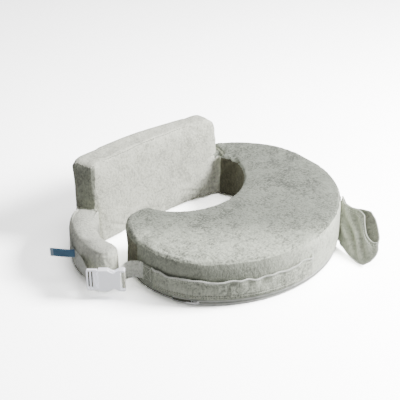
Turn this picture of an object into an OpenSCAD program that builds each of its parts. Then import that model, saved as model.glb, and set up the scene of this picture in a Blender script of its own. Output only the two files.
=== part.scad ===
// Nursing pillow: a crescent cushion that is worn round the waist, with a
// padded backrest hinged to its far end, a padded side arm hinged to the
// backrest, and a strap with a side-release buckle that closes the ring.
//
// Frame: the origin is on the floor under the middle of the crescent's front,
// halfway across its band.
// -Y is the front, where the baby lies, +Y is the backrest, -X is the buckle
// side, +X is the side where the backrest joins the crescent. Millimetres.

/* [Crescent cushion] */
// Height of the crescent cushion
crescent_h = 100; // [85:1:120]
// Radius of the front of the oval
front_r = 262; // [254:1:268]
// Radius of the hollow that fits the waist
waist_r = 138; // [132:1:142]
// Radius of the rounded horn next to the buckle
horn_r = 46; // [40:1:52]
// Thickness of the cover fabric where it is sewn to shape
cover_t = 2.6; // [2:0.1:3.2]

/* [Backrest and arm] */
// Height of the backrest
back_h = 180; // [160:1:200]
// Thickness of the backrest at its foot
back_t = 60; // [54:1:64]
// Backward lean of the backrest's front face, in degrees
back_lean = 5; // [2:0.5:6]
// How far the middle of the backrest bows away from the wearer
back_bow = 10; // [6:1:16]
// Height of the side arm
arm_h = 90; // [75:1:95]
// Thickness of the side arm
arm_t = 54; // [46:1:56]

/* [Strap and buckle] */
// Width of the webbing strap
strap_w = 38; // [32:1:40]
// Height of the strap's middle line above the floor
strap_z = 44; // [38:1:48]
// Length of the closed buckle
buckle_l = 73; // [70:1:78]
// Thickness of the buckle's hollow half
buckle_t = 12; // [11:0.5:14]

/* [Pocket, zip and pouch] */
// Height of the front pocket's sewn lower edge above the floor
pocket_z0 = 20; // [17:1:24]
// Height of the front pocket's open upper edge above the floor
pocket_z1 = 60; // [50:1:66]
// Thickness of the side pouch as it hangs
pouch_t = 14; // [10:1:16]
// Height of the zip's middle line above the floor
zip_z = 8; // [7.8:0.1:8.6]

/* [Hidden] */

sage = [0.70, 0.72, 0.66];
sage_dark = [0.56, 0.59, 0.53];
sage_light = [0.80, 0.82, 0.77];
eps = 0.2;
fa = 3;                      // angular step of the sewn outlines

// ---- outline of the crescent, as tangent arcs ----
c1 = [0, 153];                               // front of the oval
j2 = c1 + front_r * [cos(225), sin(225)];
j3 = c1 + front_r * [cos(315), sin(315)];
r2 = 165;  c2 = j2 - r2 * [cos(225), sin(225)];   // buckle side
r3 = 203;  c3 = j3 - r3 * [cos(315), sin(315)];   // far side
y_horn = 187;
horn_a = 180 - asin((y_horn - horn_r - c2[1]) / (r2 - horn_r));
ch = c2 + (r2 - horn_r) * [cos(horn_a), sin(horn_a)];
ci = [-10, 247];                             // waist hollow
rk = 43;                                     // curl beside the backrest
ka = -18.4;
ck = ci + (waist_r - rk) * [cos(ka), sin(ka)];
rr = 12;                                     // inner corner of the horn
cr = [ci[0] - sqrt(pow(waist_r + rr, 2) - pow(y_horn - rr - ci[1], 2)), y_horn - rr];
cr_a = atan2(ci[1] - cr[1], ci[0] - cr[0]);
x_end = 129;  y_end = 251;                   // notch that receives the backrest

function arc(c, r, a0, a1) = let (n = max(3, ceil(abs(a1 - a0) / fa)))
  [for (i = [0:n]) let (a = a0 + (a1 - a0) * i / n) c + r * [cos(a), sin(a)]];
// offset curve of the outer side, d is how far it lies inside the cover
function outer_side(d) = concat([[-160, y_horn - d]],
  arc(ch, horn_r - d, 90, horn_a), arc(c2, r2 - d, horn_a, 225),
  arc(c1, front_r - d, 225, 315),
  arc(c3, r3 - d, 315, 360 + acos((x_end + d - c3[0]) / (r3 - d))));
function inner_side(d) = concat(
  [[x_end + d, y_end - d]],
  arc(ck, rk + d, asin((y_end - d - ck[1]) / (rk + d)), ka),
  arc(ci, waist_r + d, ka, cr_a - 180),
  arc(cr, rr - d, cr_a, 90), [[-160, y_horn - d]]);
function reversed(p) = [for (i = [len(p) - 1:-1:0]) p[i]];
// closed ribbon between two lists of points
function ribbon(p, q) = concat(p, reversed(q));
// ribbon of thickness t along the middle line p
function strip(p, t) = let (n = len(p) - 1,
    d = [for (i = [0:n]) let (v = p[min(i + 1, n)] - p[max(i - 1, 0)]) v / norm(v)],
    m = [for (v = d) [-v[1], v[0]]])
  concat([for (i = [0:n]) p[i] + m[i] * t / 2], [for (i = [n:-1:0]) p[i] - m[i] * t / 2]);

module crescent_slab(d, z0, z1) translate([0, 0, z0]) linear_extrude(z1 - z0)
  polygon(concat(outer_side(d), inner_side(d)));
module wall_band(p0, p1, z0, z1) translate([0, 0, z0]) linear_extrude(z1 - z0)
  polygon(ribbon(p0, p1));
// part of a turned ring about a vertical axis at c
module sector(c, a0, a1, r0, r1, z0, z1) translate([c[0], c[1], 0])
  rotate([0, 0, a0]) rotate_extrude(angle = a1 - a0, $fn = 180)
    translate([r0, z0]) square([r1 - r0, z1 - z0]);

// ---- zip: two coils on tapes along the lower edge of the front wall ----
zip_a0 = 219;  zip_a1 = 312;  slider_a = 221.5;
open_a0 = 203;               // the unfastened length runs on round the bend
zip_r = front_r - 1;
zip_half = 4.8;              // half the height left open for the zip

// the foam's lower rim is set back, which leaves room behind the zip
module crescent_foam() color(sage_light) {
  crescent_slab(cover_t + eps, zip_z + zip_half + 0.6, crescent_h - cover_t - eps);
  crescent_slab(7.5, cover_t + eps, zip_z + zip_half + 0.8);
}
module crescent_top_panel() color(sage)
  crescent_slab(0, crescent_h - cover_t, crescent_h);
module crescent_bottom_panel() color(sage_dark) crescent_slab(0, 0, cover_t);
module crescent_outer_wall() color(sage) difference() {
  wall_band(outer_side(0), outer_side(cover_t), cover_t + eps, crescent_h - cover_t - eps);
  sector(c1, zip_a0 - 1, zip_a1 + 1, front_r - 9, front_r + 9, -1, zip_z + zip_half);
  sector(c2, open_a0 - 1, 226, r2 - 9, r2 + 9, -1, zip_z + zip_half);
}
module crescent_inner_wall() color(sage_dark)
  wall_band([for (p = inner_side(0)) p - [p[0] <= -159.9 ? -0.3 : 0, 0]],
            [for (p = inner_side(cover_t)) p - [p[0] <= -159.9 ? -0.3 : 0, 0]],
            cover_t + eps, crescent_h - cover_t - eps);
// sewn end of the crescent that faces the backrest
module neck_panel() color(sage_dark)
  translate([x_end - 1.7, y_end + 3, 4]) cube([1.5, 39, crescent_h - 8]);

module tape(z0, z1, zo0, zo1) {
  sector(c1, zip_a0, zip_a1, zip_r - 0.3, zip_r + 0.3, z0, z1);
  sector(c2, open_a0, 217.5, r2 - 2.2, r2 - 0.8, zo0, zo1);
}
module zip_tape_upper() color("whitesmoke")
  tape(zip_z + 2.4, zip_z + zip_half - eps, zip_z + 3.2, zip_z + zip_half - eps);
module zip_tape_lower() color("whitesmoke")
  tape(zip_z - zip_half + eps, zip_z - 2.4, zip_z - zip_half + eps, zip_z - 3.2);
module coil(s) translate([c1[0], c1[1], 0]) rotate([0, 0, zip_a0 + 0.8])
  rotate_extrude(angle = zip_a1 - zip_a0 - 1.6, $fn = 180)
    translate([zip_r, zip_z + s * 1.5]) circle(r = 0.8, $fn = 24);
module zip_coil_upper() color("whitesmoke") coil(1);
module zip_coil_lower() color("whitesmoke") coil(-1);
module zip_end_stops() color("silver") for (a = [zip_a0 + 0.2, zip_a1 - 0.7])
  sector(c1, a, a + 0.5, zip_r - 0.8, zip_r + 0.8, zip_z - 2.3, zip_z + 2.3);

// the slider has two plates joined by a post that runs between the coils
slide_a = 1.1;
module zip_slider() color("silver") {
  difference() {
    sector(c1, slider_a - slide_a, slider_a + slide_a, zip_r - 2.3, zip_r + 2.3, zip_z - 3.4, zip_z + 3.4);
    for (s = [-1, 1]) {
      sector(c1, slider_a - 3, slider_a + 3, zip_r - 1.2, zip_r + 1.2,
             zip_z + s * 1.6 - 1.15, zip_z + s * 1.6 + 1.15);
      sector(c1, slider_a - 3, slider_a + 3, zip_r - 0.7, zip_r + 0.7,
             zip_z + s * 4 - 1.6, zip_z + s * 4 + 1.6);
    }
  }
  // lugs and pin that carry the pull
  for (s = [-1, 1]) translate([c1[0], c1[1], zip_z + s * 2.6]) rotate([0, 0, slider_a])
    translate([zip_r + 2.2, -1.5, -0.6]) cube([3.2, 3, 1.2]);
  translate([c1[0], c1[1], zip_z - 2.6]) rotate([0, 0, slider_a])
    translate([zip_r + 4.1, 0, 0]) cylinder(r = 0.6, h = 5.2, $fn = 32);
}
module zip_pull() color("silver") translate([c1[0], c1[1], zip_z]) rotate([0, 0, slider_a])
  translate([zip_r + 4.1, 0, 0]) difference() {
    union() {
      translate([0, 0, -1.5]) cylinder(r = 1.7, h = 3, $fn = 32);
      translate([-0.6, -17, -1.5]) cube([1.2, 16.5, 3]);
      translate([-0.6, -19.5, -2.6]) cube([1.2, 6.5, 5.2]);
    }
    translate([0, 0, -3]) cylinder(r = 0.9, h = 6, $fn = 32);
    translate([-2, -18.2, -1.2]) cube([4, 3.6, 2.4]);
  }

// ---- front pocket: a band of fabric on the outer wall, open along its top ----
pocket_a0 = 188;  pocket_a1 = 274.5;
function pocket_line(g) = concat(arc(c2, r2 + g, pocket_a0, 225), arc(c1, front_r + g, 225, pocket_a1));
module front_pocket() color(sage)
  wall_band(pocket_line(0.2), pocket_line(2.2), pocket_z0, pocket_z1 - 3.2);
module pocket_binding() color(sage_light)
  wall_band(pocket_line(0.2), pocket_line(3), pocket_z1 - 3, pocket_z1);
module pocket_stitching() color("whitesmoke") {
  for (z = [pocket_z0 + 2, pocket_z0 + 6])
    wall_band(pocket_line(2.3), pocket_line(2.9), z, z + 0.8);
  for (a = [pocket_a1 - 0.5, pocket_a1 - 1.6])
    sector(c1, a - 0.15, a, front_r + 2.3, front_r + 2.9, pocket_z0 + 8, pocket_z1 - 4);
}

// ---- buckle: its own frame is x along the strap, y through its thickness ----
buckle_c = [-306, 110];
buckle_turn = -42;
module at_buckle() translate([buckle_c[0], buckle_c[1], strap_z]) rotate([0, 0, buckle_turn]) children();
// prism from a side profile in x and z
module plate(t) rotate([90, 0, 0]) linear_extrude(t, center = true) children();
hw = strap_w / 2 + 4;        // half width of the buckle
x0 = -buckle_l / 2;  x1 = buckle_l / 2;
mouth = -14;                 // where the socket begins
bar_x = x1 - 3.5;
cav = strap_w / 2 - 0.5;     // half width of the socket's cavity

function waist_side(s) = concat(
  [[mouth, s * hw], [mouth + 16, s * hw]],
  [for (i = [1:11]) let (u = i / 12) [2 + 24 * u, s * (hw - 5.5 * pow(sin(180 * u), 2))]],
  [[x1 - 9, s * (hw + 0.5)], [x1 - 3, s * (hw + 1)], [x1, s * (hw - 1)]]);
module buckle_socket() color("white") at_buckle() {
  difference() {
    plate(buckle_t) polygon(concat(waist_side(1), reversed(waist_side(-1))));
    // cavity that takes the prongs and the guide
    translate([mouth - 1, -3.6, -cav]) cube([39, 7.2, 2 * cav]);
    // side windows, where the prongs' heads catch and are pressed
    translate([mouth + 18, -3.6, -hw - 5]) cube([20, 7.2, 2 * hw + 10]);
    // slot for the strap, open at the end between the two horns
    translate([x1 - 9.8, -10, -strap_w / 2 - 0.8]) cube([30, 20, strap_w + 1.6]);
  }
  translate([bar_x, 0, -strap_w / 2 - 1.2]) cylinder(r = 1.7, h = strap_w + 2.4, $fn = 48);
}

root_x = mouth - 0.8;        // where the prongs spring from the plug
root_z = 13.5;
module buckle_plug() color("white") at_buckle() {
  difference() {
    plate(5.4) polygon([[x0 + 1.5, -hw], [x0, -hw + 2], [x0, hw - 2], [x0 + 1.5, hw],
      [mouth - 4, hw], [mouth - 0.5, hw - 2], [mouth - 0.5, -hw + 2], [mouth - 4, -hw]]);
    for (x = [x0 + 2.6, x0 + 8.6]) translate([x, -10, -strap_w / 2 - 1])
      cube([3.4, 20, strap_w + 2]);
    for (s = [-1, 1]) translate([root_x, 0, s * root_z]) rotate([90, 0, 0])
      cylinder(r = 2.7, h = 20, center = true, $fn = 48);
  }
  // centre guide
  plate(5.4) polygon([[mouth - 2, -4.5], [mouth + 24, -4], [mouth + 30, -2.5],
    [mouth + 30, 2.5], [mouth + 24, 4], [mouth - 2, 4.5]]);
}
module prong(s) at_buckle() {
  translate([root_x, 0, s * root_z]) rotate([90, 0, 0]) cylinder(r = 2.4, h = 5.4, center = true, $fn = 48);
  plate(5.4) polygon([for (p = [[root_x, root_z - 1.4], [root_x, root_z + 1.8], [mouth + 8, hw - 6.4],
    [mouth + 18.5, hw - 6.4], [mouth + 18.5, hw - 2.4], [mouth + 23, hw - 2], [mouth + 28, hw - 3.2],
    [mouth + 33, hw - 7], [mouth + 36, hw - 11.5], [mouth + 33, hw - 12.2], [mouth + 20, hw - 10.4],
    [mouth + 8, hw - 10.4]]) [p[0], s * p[1]]]);
}
module prong_upper() color("white") prong(1);
module prong_lower() color("white") prong(-1);

// ---- short strap from the socket to the wall ----
bar = buckle_c + bar_x * [cos(buckle_turn), sin(buckle_turn)];
strap_off = r2 + 1.6;
function socket_path() = concat(
  [bar + [1.6, 2.6], bar + [2.8, 6.5], bar + [5.2, 12], bar + [9.5, 17], bar + [15.5, 19.3],
   bar + [23.5, 19.4], bar + [31.5, 16.6], bar + [38.3, 12], bar + [43.4, 6.6]],
  arc(c2, strap_off, 178.2, 187.5));
module socket_strap() color(sage) translate([0, 0, strap_z - strap_w / 2]) difference() {
  union() {
    linear_extrude(strap_w) polygon(strip(socket_path(), 2.4));
    translate([bar[0], bar[1], 0]) cylinder(r = 4, h = strap_w, $fn = 48);
  }
  translate([bar[0], bar[1], -1]) cylinder(r = 2, h = strap_w + 2, $fn = 48);
}
// boxed cross of thread, laid on the curved strap
module socket_strap_stitching() color("whitesmoke") intersection() {
  sector(c2, 176, 190, r2 + 2.9, r2 + 3.5, strap_z - 20, strap_z + 20);
  translate([c2[0], c2[1], strap_z]) rotate([0, 0, 183]) rotate([90, 0, 90])
    linear_extrude(220) union() {
      difference() { square([24, strap_w - 8], center = true); square([22.6, strap_w - 9.4], center = true); }
      for (s = [-1, 1]) rotate([0, 0, s * atan2(strap_w - 8, 24)]) square([norm([24, strap_w - 8]) - 1.5, 0.7], center = true);
    }
}

// ---- side arm: a padded bar that turns from the backrest to the buckle ----
ac = [-154, 175];            // centre of the arm's bend
ar = 126;                    // radius of its middle line
arm_a0 = 118.5;              // where the bend meets the backrest
arm_x = ac[0] - ar;          // middle line of the straight part
arm_y0 = 145;                // centre of its rounded end
arm_gap = 0.9;               // gap to the backrest's end, in degrees of the bend
function arm_outline(d, root) = let (h = arm_t / 2 - d)
  concat(arc(ac, ar + h, arm_a0 + root, 180), arc([arm_x, arm_y0], h, 180, 360),
         arc(ac, ar - h, 180, arm_a0 + root));
module arm_slab(d, root, z0, z1) translate([0, 0, z0]) linear_extrude(z1 - z0)
  polygon(arm_outline(d, root));
module arm_shell() difference() {
  arm_slab(0, arm_gap, 0, arm_h);
  arm_slab(cover_t, -3, cover_t, arm_h - cover_t);
}
module arm_foam() color(sage_light)
  arm_slab(cover_t + eps, arm_gap, cover_t + eps, arm_h - cover_t - eps);
module arm_cover() color(sage) difference() {
  arm_shell();
  translate([-400, -100, -1]) cube([200, 100 + arm_y0 + 0.1, arm_h + 2]);
}
module arm_end_panel() color(sage_dark) intersection() {
  arm_shell();
  translate([-400, -100, -1]) cube([200, 100 + arm_y0 - 0.1, arm_h + 2]);
}

// ---- strap from the arm, threaded through the ladder of the plug ----
function from_buckle(p) = buckle_c + [p[0] * cos(buckle_turn) - p[1] * sin(buckle_turn),
                                      p[0] * sin(buckle_turn) + p[1] * cos(buckle_turn)];
sl1 = x0 + 2.6 + 1.9;  sl2 = x0 + 8.6 + 1.5;
arm_face = arm_x - arm_t / 2 - 1.2;
function arm_strap_path() = concat(
  [for (p = [[sl2 + 1, 15], [sl2 + 0.3, 9], [sl2, 3], [sl2, -2.6], [sl2 - 0.9, -4.0], [(sl1 + sl2) / 2, -4.3],
             [sl1 + 0.9, -4.0], [sl1, -2.6], [sl1, 3], [sl1 - 0.6, 6]]) from_buckle(p)],
  [[-326.5, 140], [-323.4, 149], [-319.2, 159], [-314.6, 169], [-311, 178]],
  arc(ac, ar + arm_t / 2 + 1.6, 175, 159));
module arm_strap() color(sage) translate([0, 0, strap_z - strap_w / 2])
  linear_extrude(strap_w) polygon(strip(arm_strap_path(), 1.7));
module arm_strap_stitching() color("whitesmoke") for (a = [160, 162])
  for (k = [-6:6]) sector(ac, a - 0.2, a + 0.2, ar + arm_t / 2 + 2.6, ar + arm_t / 2 + 3.1, strap_z + k * 2.7 - 0.9, strap_z + k * 2.7 + 0.9);

// folded label sewn to the arm strap, left plain
tag_at = ac + (ar + arm_t / 2 + 3.6) * [cos(169), sin(169)];
module label_tag() color("lightsteelblue") translate([tag_at[0], tag_at[1], strap_z + 2])
  rotate([0, 0, 133]) translate([0.9, -0.6, 0]) difference() {
    cube([48, 1.2, 20]);
    translate([3, 0.45, -1]) cube([50, 0.3, 22]);
  }

// ---- backrest: a tall padded bar, slightly bowed in plan ----
bx0 = -214;  bx1 = 126;      // middle of the near end, and the far end
end_a = arm_a0;              // direction of the slanted near end, in plan
half = (bx1 - bx0) / 2;
bow_r = (half * half + back_bow * back_bow) / (2 * back_bow);
foot_y = 258;                // front of the foot at both ends
bow_c = [(bx0 + bx1) / 2, foot_y + back_bow - bow_r];
// plan between the two sewn ends, and elevation with rounded top corners
module plan_prism(d) let (k = d / sin(end_a)) translate([0, 0, -5]) linear_extrude(back_h + 10)
  polygon([[ac[0] + k + 60 / tan(end_a), ac[1] + 60], [bx1 + 5 - d, ac[1] + 60],
           [bx1 + 5 - d, ac[1] + 185], [ac[0] + k + 185 / tan(end_a), ac[1] + 185]]);
function face_profile(d) = let (q = 28 - d) concat(
  [[-300, d]], arc([bx1 - 9, 9], 9 - d, 270, 360), [[bx1 - d - 1, back_h * 0.45]],
  arc([bx1 - 38, back_h - 28], q, 15, 90), arc([-199, back_h - 28], q, 90, 175), [[-300, 120]]);
module back_prism(d) intersection() {
  plan_prism(d);
  translate([0, 400, 0]) rotate([90, 0, 0]) linear_extrude(500) polygon(face_profile(d));
}
// everything in front of the bowed and leaning front face, moved back by t
module ahead(t) translate([bow_c[0], foot_y + back_bow, 0]) rotate([-back_lean, 0, 0])
  translate([0, -bow_r, -100]) cylinder(r = bow_r + t, h = 400, $fn = 720);
// everything in front of the upright back face, moved forward by t
module within(t) translate([bow_c[0], bow_c[1], -5])
  cylinder(r = bow_r + back_t - t, h = back_h + 10, $fn = 720);
module backrest_foam() color(sage_light) difference() {
  intersection() { back_prism(cover_t + eps); within(cover_t + 2 * eps); }
  ahead(cover_t + 2 * eps);
}
module backrest_front_panel() color(sage_light) difference() {
  intersection() { back_prism(0); ahead(cover_t); }
  ahead(0);
}
module backrest_back_panel() color(sage) difference() {
  intersection() { back_prism(0); within(0); }
  within(cover_t);
}
module backrest_boxing() color(sage_dark) difference() {
  intersection() { back_prism(0); within(cover_t + eps); }
  back_prism(cover_t);
  ahead(cover_t + eps);
}

// ---- side pouch: a limp bag sewn to the far side of the wall ----
seam_a = -39;
seam = c3 + (r3 + 3.4) * [cos(seam_a), sin(seam_a)];
pouch_profile = [[4, 0], [18, -13], [48, -10], [80, -1], [112, -22], [132, -44], [139, -64], [135, -81], [123, -90],
                 [62, -90], [55, -86]];
module in_pouch() translate([seam[0] + 1, seam[1] - 3, 84]) rotate([0, 0, -95]) rotate([60, 0, 0]) children();
module side_pouch() color(sage) {
  in_pouch() difference() {
    linear_extrude(pouch_t, center = true) polygon(pouch_profile);
    linear_extrude(pouch_t - 4, center = true) union() {
      offset(delta = -2.2) polygon(pouch_profile);
      // the mouth, at the top and outer corner
      polygon([[30, -16], [26, 6], [84, 6], [128, -24], [116, -30], [79, -6]]);
    }
  }
}
module pouch_hem() color(sage_dark) in_pouch() for (s = [-1, 1])
  translate([0, 0, s * (pouch_t / 2 + 0.8)]) linear_extrude(1.2, center = true)
    polygon([[20, -13.2], [48, -10.4], [80, -1.2], [112, -22.4], [109.8, -25.4], [78.8, -5], [48, -14], [20, -16.8]]);
// tape that joins the pouch to the wall's seam
module pouch_seam_tape() color(sage_dark) translate([seam[0], seam[1], 14]) rotate([0, 0, seam_a])
  translate([-3, -1, 0]) cube([2.2, 2, 66]);

crescent_foam();
crescent_top_panel();
crescent_bottom_panel();
crescent_outer_wall();
crescent_inner_wall();
neck_panel();
front_pocket();
pocket_binding();
pocket_stitching();
zip_tape_upper();
zip_tape_lower();
zip_coil_upper();
zip_coil_lower();
zip_end_stops();
zip_slider();
zip_pull();
socket_strap();
socket_strap_stitching();
buckle_socket();
buckle_plug();
prong_upper();
prong_lower();
arm_strap();
arm_strap_stitching();
arm_foam();
arm_cover();
arm_end_panel();
label_tag();
backrest_foam();
backrest_front_panel();
backrest_back_panel();
backrest_boxing();
side_pouch();
pouch_hem();
pouch_seam_tape();
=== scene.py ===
import bpy
import math
import numpy as np
from mathutils import Vector, Matrix
from mathutils.bvhtree import BVHTree
from mathutils.kdtree import KDTree


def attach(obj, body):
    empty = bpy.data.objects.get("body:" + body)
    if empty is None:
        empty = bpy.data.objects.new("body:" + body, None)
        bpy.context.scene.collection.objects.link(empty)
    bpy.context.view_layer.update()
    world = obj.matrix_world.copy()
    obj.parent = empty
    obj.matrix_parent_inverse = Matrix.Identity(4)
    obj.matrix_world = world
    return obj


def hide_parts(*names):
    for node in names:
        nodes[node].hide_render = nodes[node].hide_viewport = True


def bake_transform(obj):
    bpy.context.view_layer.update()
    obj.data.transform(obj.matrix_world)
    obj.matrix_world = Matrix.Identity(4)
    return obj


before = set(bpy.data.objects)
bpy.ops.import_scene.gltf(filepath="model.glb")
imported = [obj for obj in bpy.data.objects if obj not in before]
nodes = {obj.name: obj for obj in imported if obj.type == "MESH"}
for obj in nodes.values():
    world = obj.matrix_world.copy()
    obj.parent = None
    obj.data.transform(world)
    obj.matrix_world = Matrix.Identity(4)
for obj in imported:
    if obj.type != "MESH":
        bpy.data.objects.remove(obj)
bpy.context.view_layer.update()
scene = bpy.context.scene
MM = 0.001
OFF = np.array([0.0, 120.0, 0.0])   # the plan below is written about the middle of the waist opening


# ---------------------------------------------------------------- small tools
def rad(a):
    return math.radians(a)


def arc(c, r, a0, a1, step=1.5):
    n = max(2, int(math.ceil(abs(a1 - a0) / step)))
    t = np.radians(np.linspace(a0, a1, n + 1))
    return np.stack([c[0] + r * np.cos(t), c[1] + r * np.sin(t)], 1)


def smoothstep(a, b, x):
    t = np.clip((x - a) / (b - a), 0, 1)
    return t * t * (3 - 2 * t)


def _lattice(ix, iy, iz, seed):
    h = (ix * 374761393 + iy * 668265263 + iz * 1440662683 + seed * 974634777) & 0xFFFFFFFF
    h = ((h ^ (h >> 13)) * 1274126177) & 0xFFFFFFFF
    h = ((h ^ (h >> 15)) * 668265263) & 0xFFFFFFFF
    return ((h ^ (h >> 16)) & 0xFFFF) / 32767.5 - 1.0


def vnoise(P, size, seed=0):
    """Smooth noise from -1 to 1 on points in mm; size is the spacing of its bumps, one number or three."""
    q = np.asarray(P, float) / np.asarray(size, float)
    i = np.floor(q).astype(np.int64)
    f = q - i
    u = f * f * f * (f * (f * 6 - 15) + 10)
    out = 0
    for dx in (0, 1):
        for dy in (0, 1):
            for dz in (0, 1):
                w = ((u[:, 0] if dx else 1 - u[:, 0]) * (u[:, 1] if dy else 1 - u[:, 1])
                     * (u[:, 2] if dz else 1 - u[:, 2]))
                out = out + w * _lattice(i[:, 0] + dx, i[:, 1] + dy, i[:, 2] + dz, seed)
    return out


def fbm(P, size, seed=0, octaves=3):
    s, a, out, tot = np.asarray(size, float), 1.0, 0, 0
    for k in range(octaves):
        out = out + a * vnoise(P, s, seed + 17 * k)
        tot += a
        a *= 0.5
        s = s / 2.03
    return out / tot


def new_object(name, verts, faces, smooth=True):
    """A mesh object from points in mm."""
    me = bpy.data.meshes.new(name)
    me.from_pydata(((np.asarray(verts, float) + OFF) * MM).tolist(), [], [list(map(int, f)) for f in faces])
    me.validate()
    me.update()
    o = bpy.data.objects.new(name, me)
    scene.collection.objects.link(o)
    if smooth:
        me.polygons.foreach_set("use_smooth", [True] * len(me.polygons))
    return o


def co(o):
    a = np.empty(len(o.data.vertices) * 3, np.float32)
    o.data.vertices.foreach_get("co", a)
    return a.reshape(-1, 3).astype(float) / MM - OFF


def set_co(o, P):
    o.data.vertices.foreach_set("co", ((np.asarray(P) + OFF) * MM).astype(np.float32).ravel())
    o.data.update()


def normals(o):
    a = np.empty(len(o.data.vertices) * 3, np.float32)
    o.data.vertex_normals.foreach_get("vector", a)
    return a.reshape(-1, 3).astype(float)


def edges(o):
    e = np.empty(len(o.data.edges) * 2, np.int32)
    o.data.edges.foreach_get("vertices", e)
    return e.reshape(-1, 2)


def relax(P, E, n, lam=0.5, weight=None):
    """Evens out points along edges E; weight says how much each point takes part."""
    deg = np.maximum(np.bincount(E.ravel(), minlength=len(P)), 1)
    w = 1.0 if weight is None else weight[:, None]
    for _ in range(n):
        S = np.stack([np.bincount(E[:, 0], P[E[:, 1], k], len(P)) + np.bincount(E[:, 1], P[E[:, 0], k], len(P))
                      for k in range(3)], 1)
        P = P + lam * w * (S / deg[:, None] - P)
    return P


def baked(o):
    """Applies every modifier of o."""
    dg = bpy.context.evaluated_depsgraph_get()
    dg.update()
    me = bpy.data.meshes.new_from_object(o.evaluated_get(dg), depsgraph=dg)
    old = o.data
    o.modifiers.clear()
    o.data = me
    bpy.data.meshes.remove(old)
    me.polygons.foreach_set("use_smooth", [True] * len(me.polygons))
    return o


def remesh(o, size):
    m = o.modifiers.new("remesh", "REMESH")
    m.mode = "VOXEL"
    m.voxel_size = size * MM
    m.use_smooth_shade = True
    return baked(o)


def subdivide(o, levels=1):
    m = o.modifiers.new("subdivision", "SUBSURF")
    m.levels = m.render_levels = levels
    return baked(o)


def at(x, y, z):
    """A point of the plan below as a place in the row frame, in metres."""
    return Vector((x, y + 120.0, z)) * MM


def prism(name, outline, z0, z1):
    """Closed prism on a plan outline in mm."""
    n = len(outline)
    V = [(p[0], p[1], z0) for p in outline] + [(p[0], p[1], z1) for p in outline]
    area = sum(outline[i][0] * outline[(i + 1) % n][1] - outline[(i + 1) % n][0] * outline[i][1] for i in range(n))
    up, down = list(range(n, 2 * n)), list(range(n - 1, -1, -1))
    sides = [[i, (i + 1) % n, n + (i + 1) % n, n + i] for i in range(n)]
    if area < 0:
        up, down = up[::-1], down[::-1]
        sides = [f[::-1] for f in sides]
    return new_object(name, V, [up, down] + sides)


def puff(o, cap, pressure=4.0, frames=20, pinned=None, stiff=12.0, grow=0.0, quality=4):
    """Inflates o by cloth simulation. No point ends further than cap mm from where it began."""
    start = co(o)
    m = o.modifiers.new("puff", "CLOTH")
    s = m.settings
    s.quality = quality
    s.mass = 0.25
    s.tension_stiffness = s.compression_stiffness = stiff
    s.shear_stiffness = stiff * 0.5
    s.bending_stiffness = 0.6
    s.use_pressure = True
    s.uniform_pressure_force = pressure
    s.effector_weights.gravity = 0
    s.shrink_min = -grow
    m.collision_settings.use_collision = False
    m.collision_settings.use_self_collision = False
    if pinned is not None:
        g = o.vertex_groups.new(name="pin")
        for level in (1.0, 0.6, 0.3):
            idx = np.nonzero((pinned > level - 0.15) & (pinned <= level + 0.15))[0]
            if len(idx):
                g.add(idx.tolist(), level, "REPLACE")
        s.vertex_group_mass = "pin"
        s.pin_stiffness = 1.0
    m.point_cache.frame_start = 1
    m.point_cache.frame_end = frames
    for f in range(1, frames + 1):
        scene.frame_set(f)
    baked(o)
    scene.frame_set(1)
    for g in list(o.vertex_groups):
        o.vertex_groups.remove(g)
    P = co(o)
    d = P - start
    length = np.linalg.norm(d, axis=1)
    soft = cap * np.tanh(length / cap)
    set_co(o, start + d * (soft / np.maximum(length, 1e-9))[:, None])
    return o


class Skin:
    """The surface of a mesh object, for laying other things on it."""

    def __init__(self, o):
        self.tree = BVHTree.FromPolygons([v.co.copy() for v in o.data.vertices], [p.vertices[:] for p in o.data.polygons])

    def cast(self, p, d, far=80.0):
        """Point and normal where a ray from p (mm) along d meets the surface, or None."""
        loc, nor, _, _ = self.tree.ray_cast(Vector(np.asarray(p, float) + OFF) * MM, Vector(d).normalized(), far * MM)
        return (None, None) if loc is None else (np.array(loc) / MM - OFF, np.array(nor))

    def nearest(self, p):
        loc, nor, _, _ = self.tree.find_nearest(Vector(np.asarray(p, float) + OFF) * MM)
        return np.array(loc) / MM - OFF, np.array(nor)


def along(curve, step):
    """Points every step mm along a polyline."""
    curve = np.asarray(curve, float)
    seg = np.linalg.norm(np.diff(curve, axis=0), axis=1)
    s = np.concatenate([[0], np.cumsum(seg)])
    t = np.linspace(0, s[-1], max(2, int(round(s[-1] / step)) + 1))
    return np.stack([np.interp(t, s, curve[:, k]) for k in range(curve.shape[1])], 1)


def distance_to(P, curve):
    """Distance in mm from each point to a dense curve, and the curve's nearest index."""
    kd = KDTree(len(curve))
    for i, c in enumerate(curve):
        kd.insert(Vector(c), i)
    kd.balance()
    d, k = np.empty(len(P)), np.empty(len(P), int)
    for i, p in enumerate(P):
        _, j, dist = kd.find(Vector(p))
        d[i], k[i] = dist, j
    return d, k


def crease(o, curve, depth, width, ridge=0.35, snap=True, wander=0.0, seed=3):
    """Presses a sewn line into o: a narrow valley with a soft ridge on each side."""
    curve = along(curve, 1.5)
    if snap:
        skin = Skin(o)
        curve = np.array([skin.nearest(p)[0] for p in curve])
    P, N = co(o), normals(o)
    lo, hi = curve.min(0) - 5 * width, curve.max(0) + 5 * width
    near = np.nonzero(np.all((P > lo) & (P < hi), axis=1))[0]
    d, _ = distance_to(P[near], curve)
    k = 1.0 + wander * vnoise(P[near], 14, seed)
    h = -depth * k * np.exp(-(d / width) ** 2) + ridge * depth * k * np.exp(-((d - 2.2 * width) / (1.1 * width)) ** 2)
    P[near] += N[near] * h[:, None]
    set_co(o, P)


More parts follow.
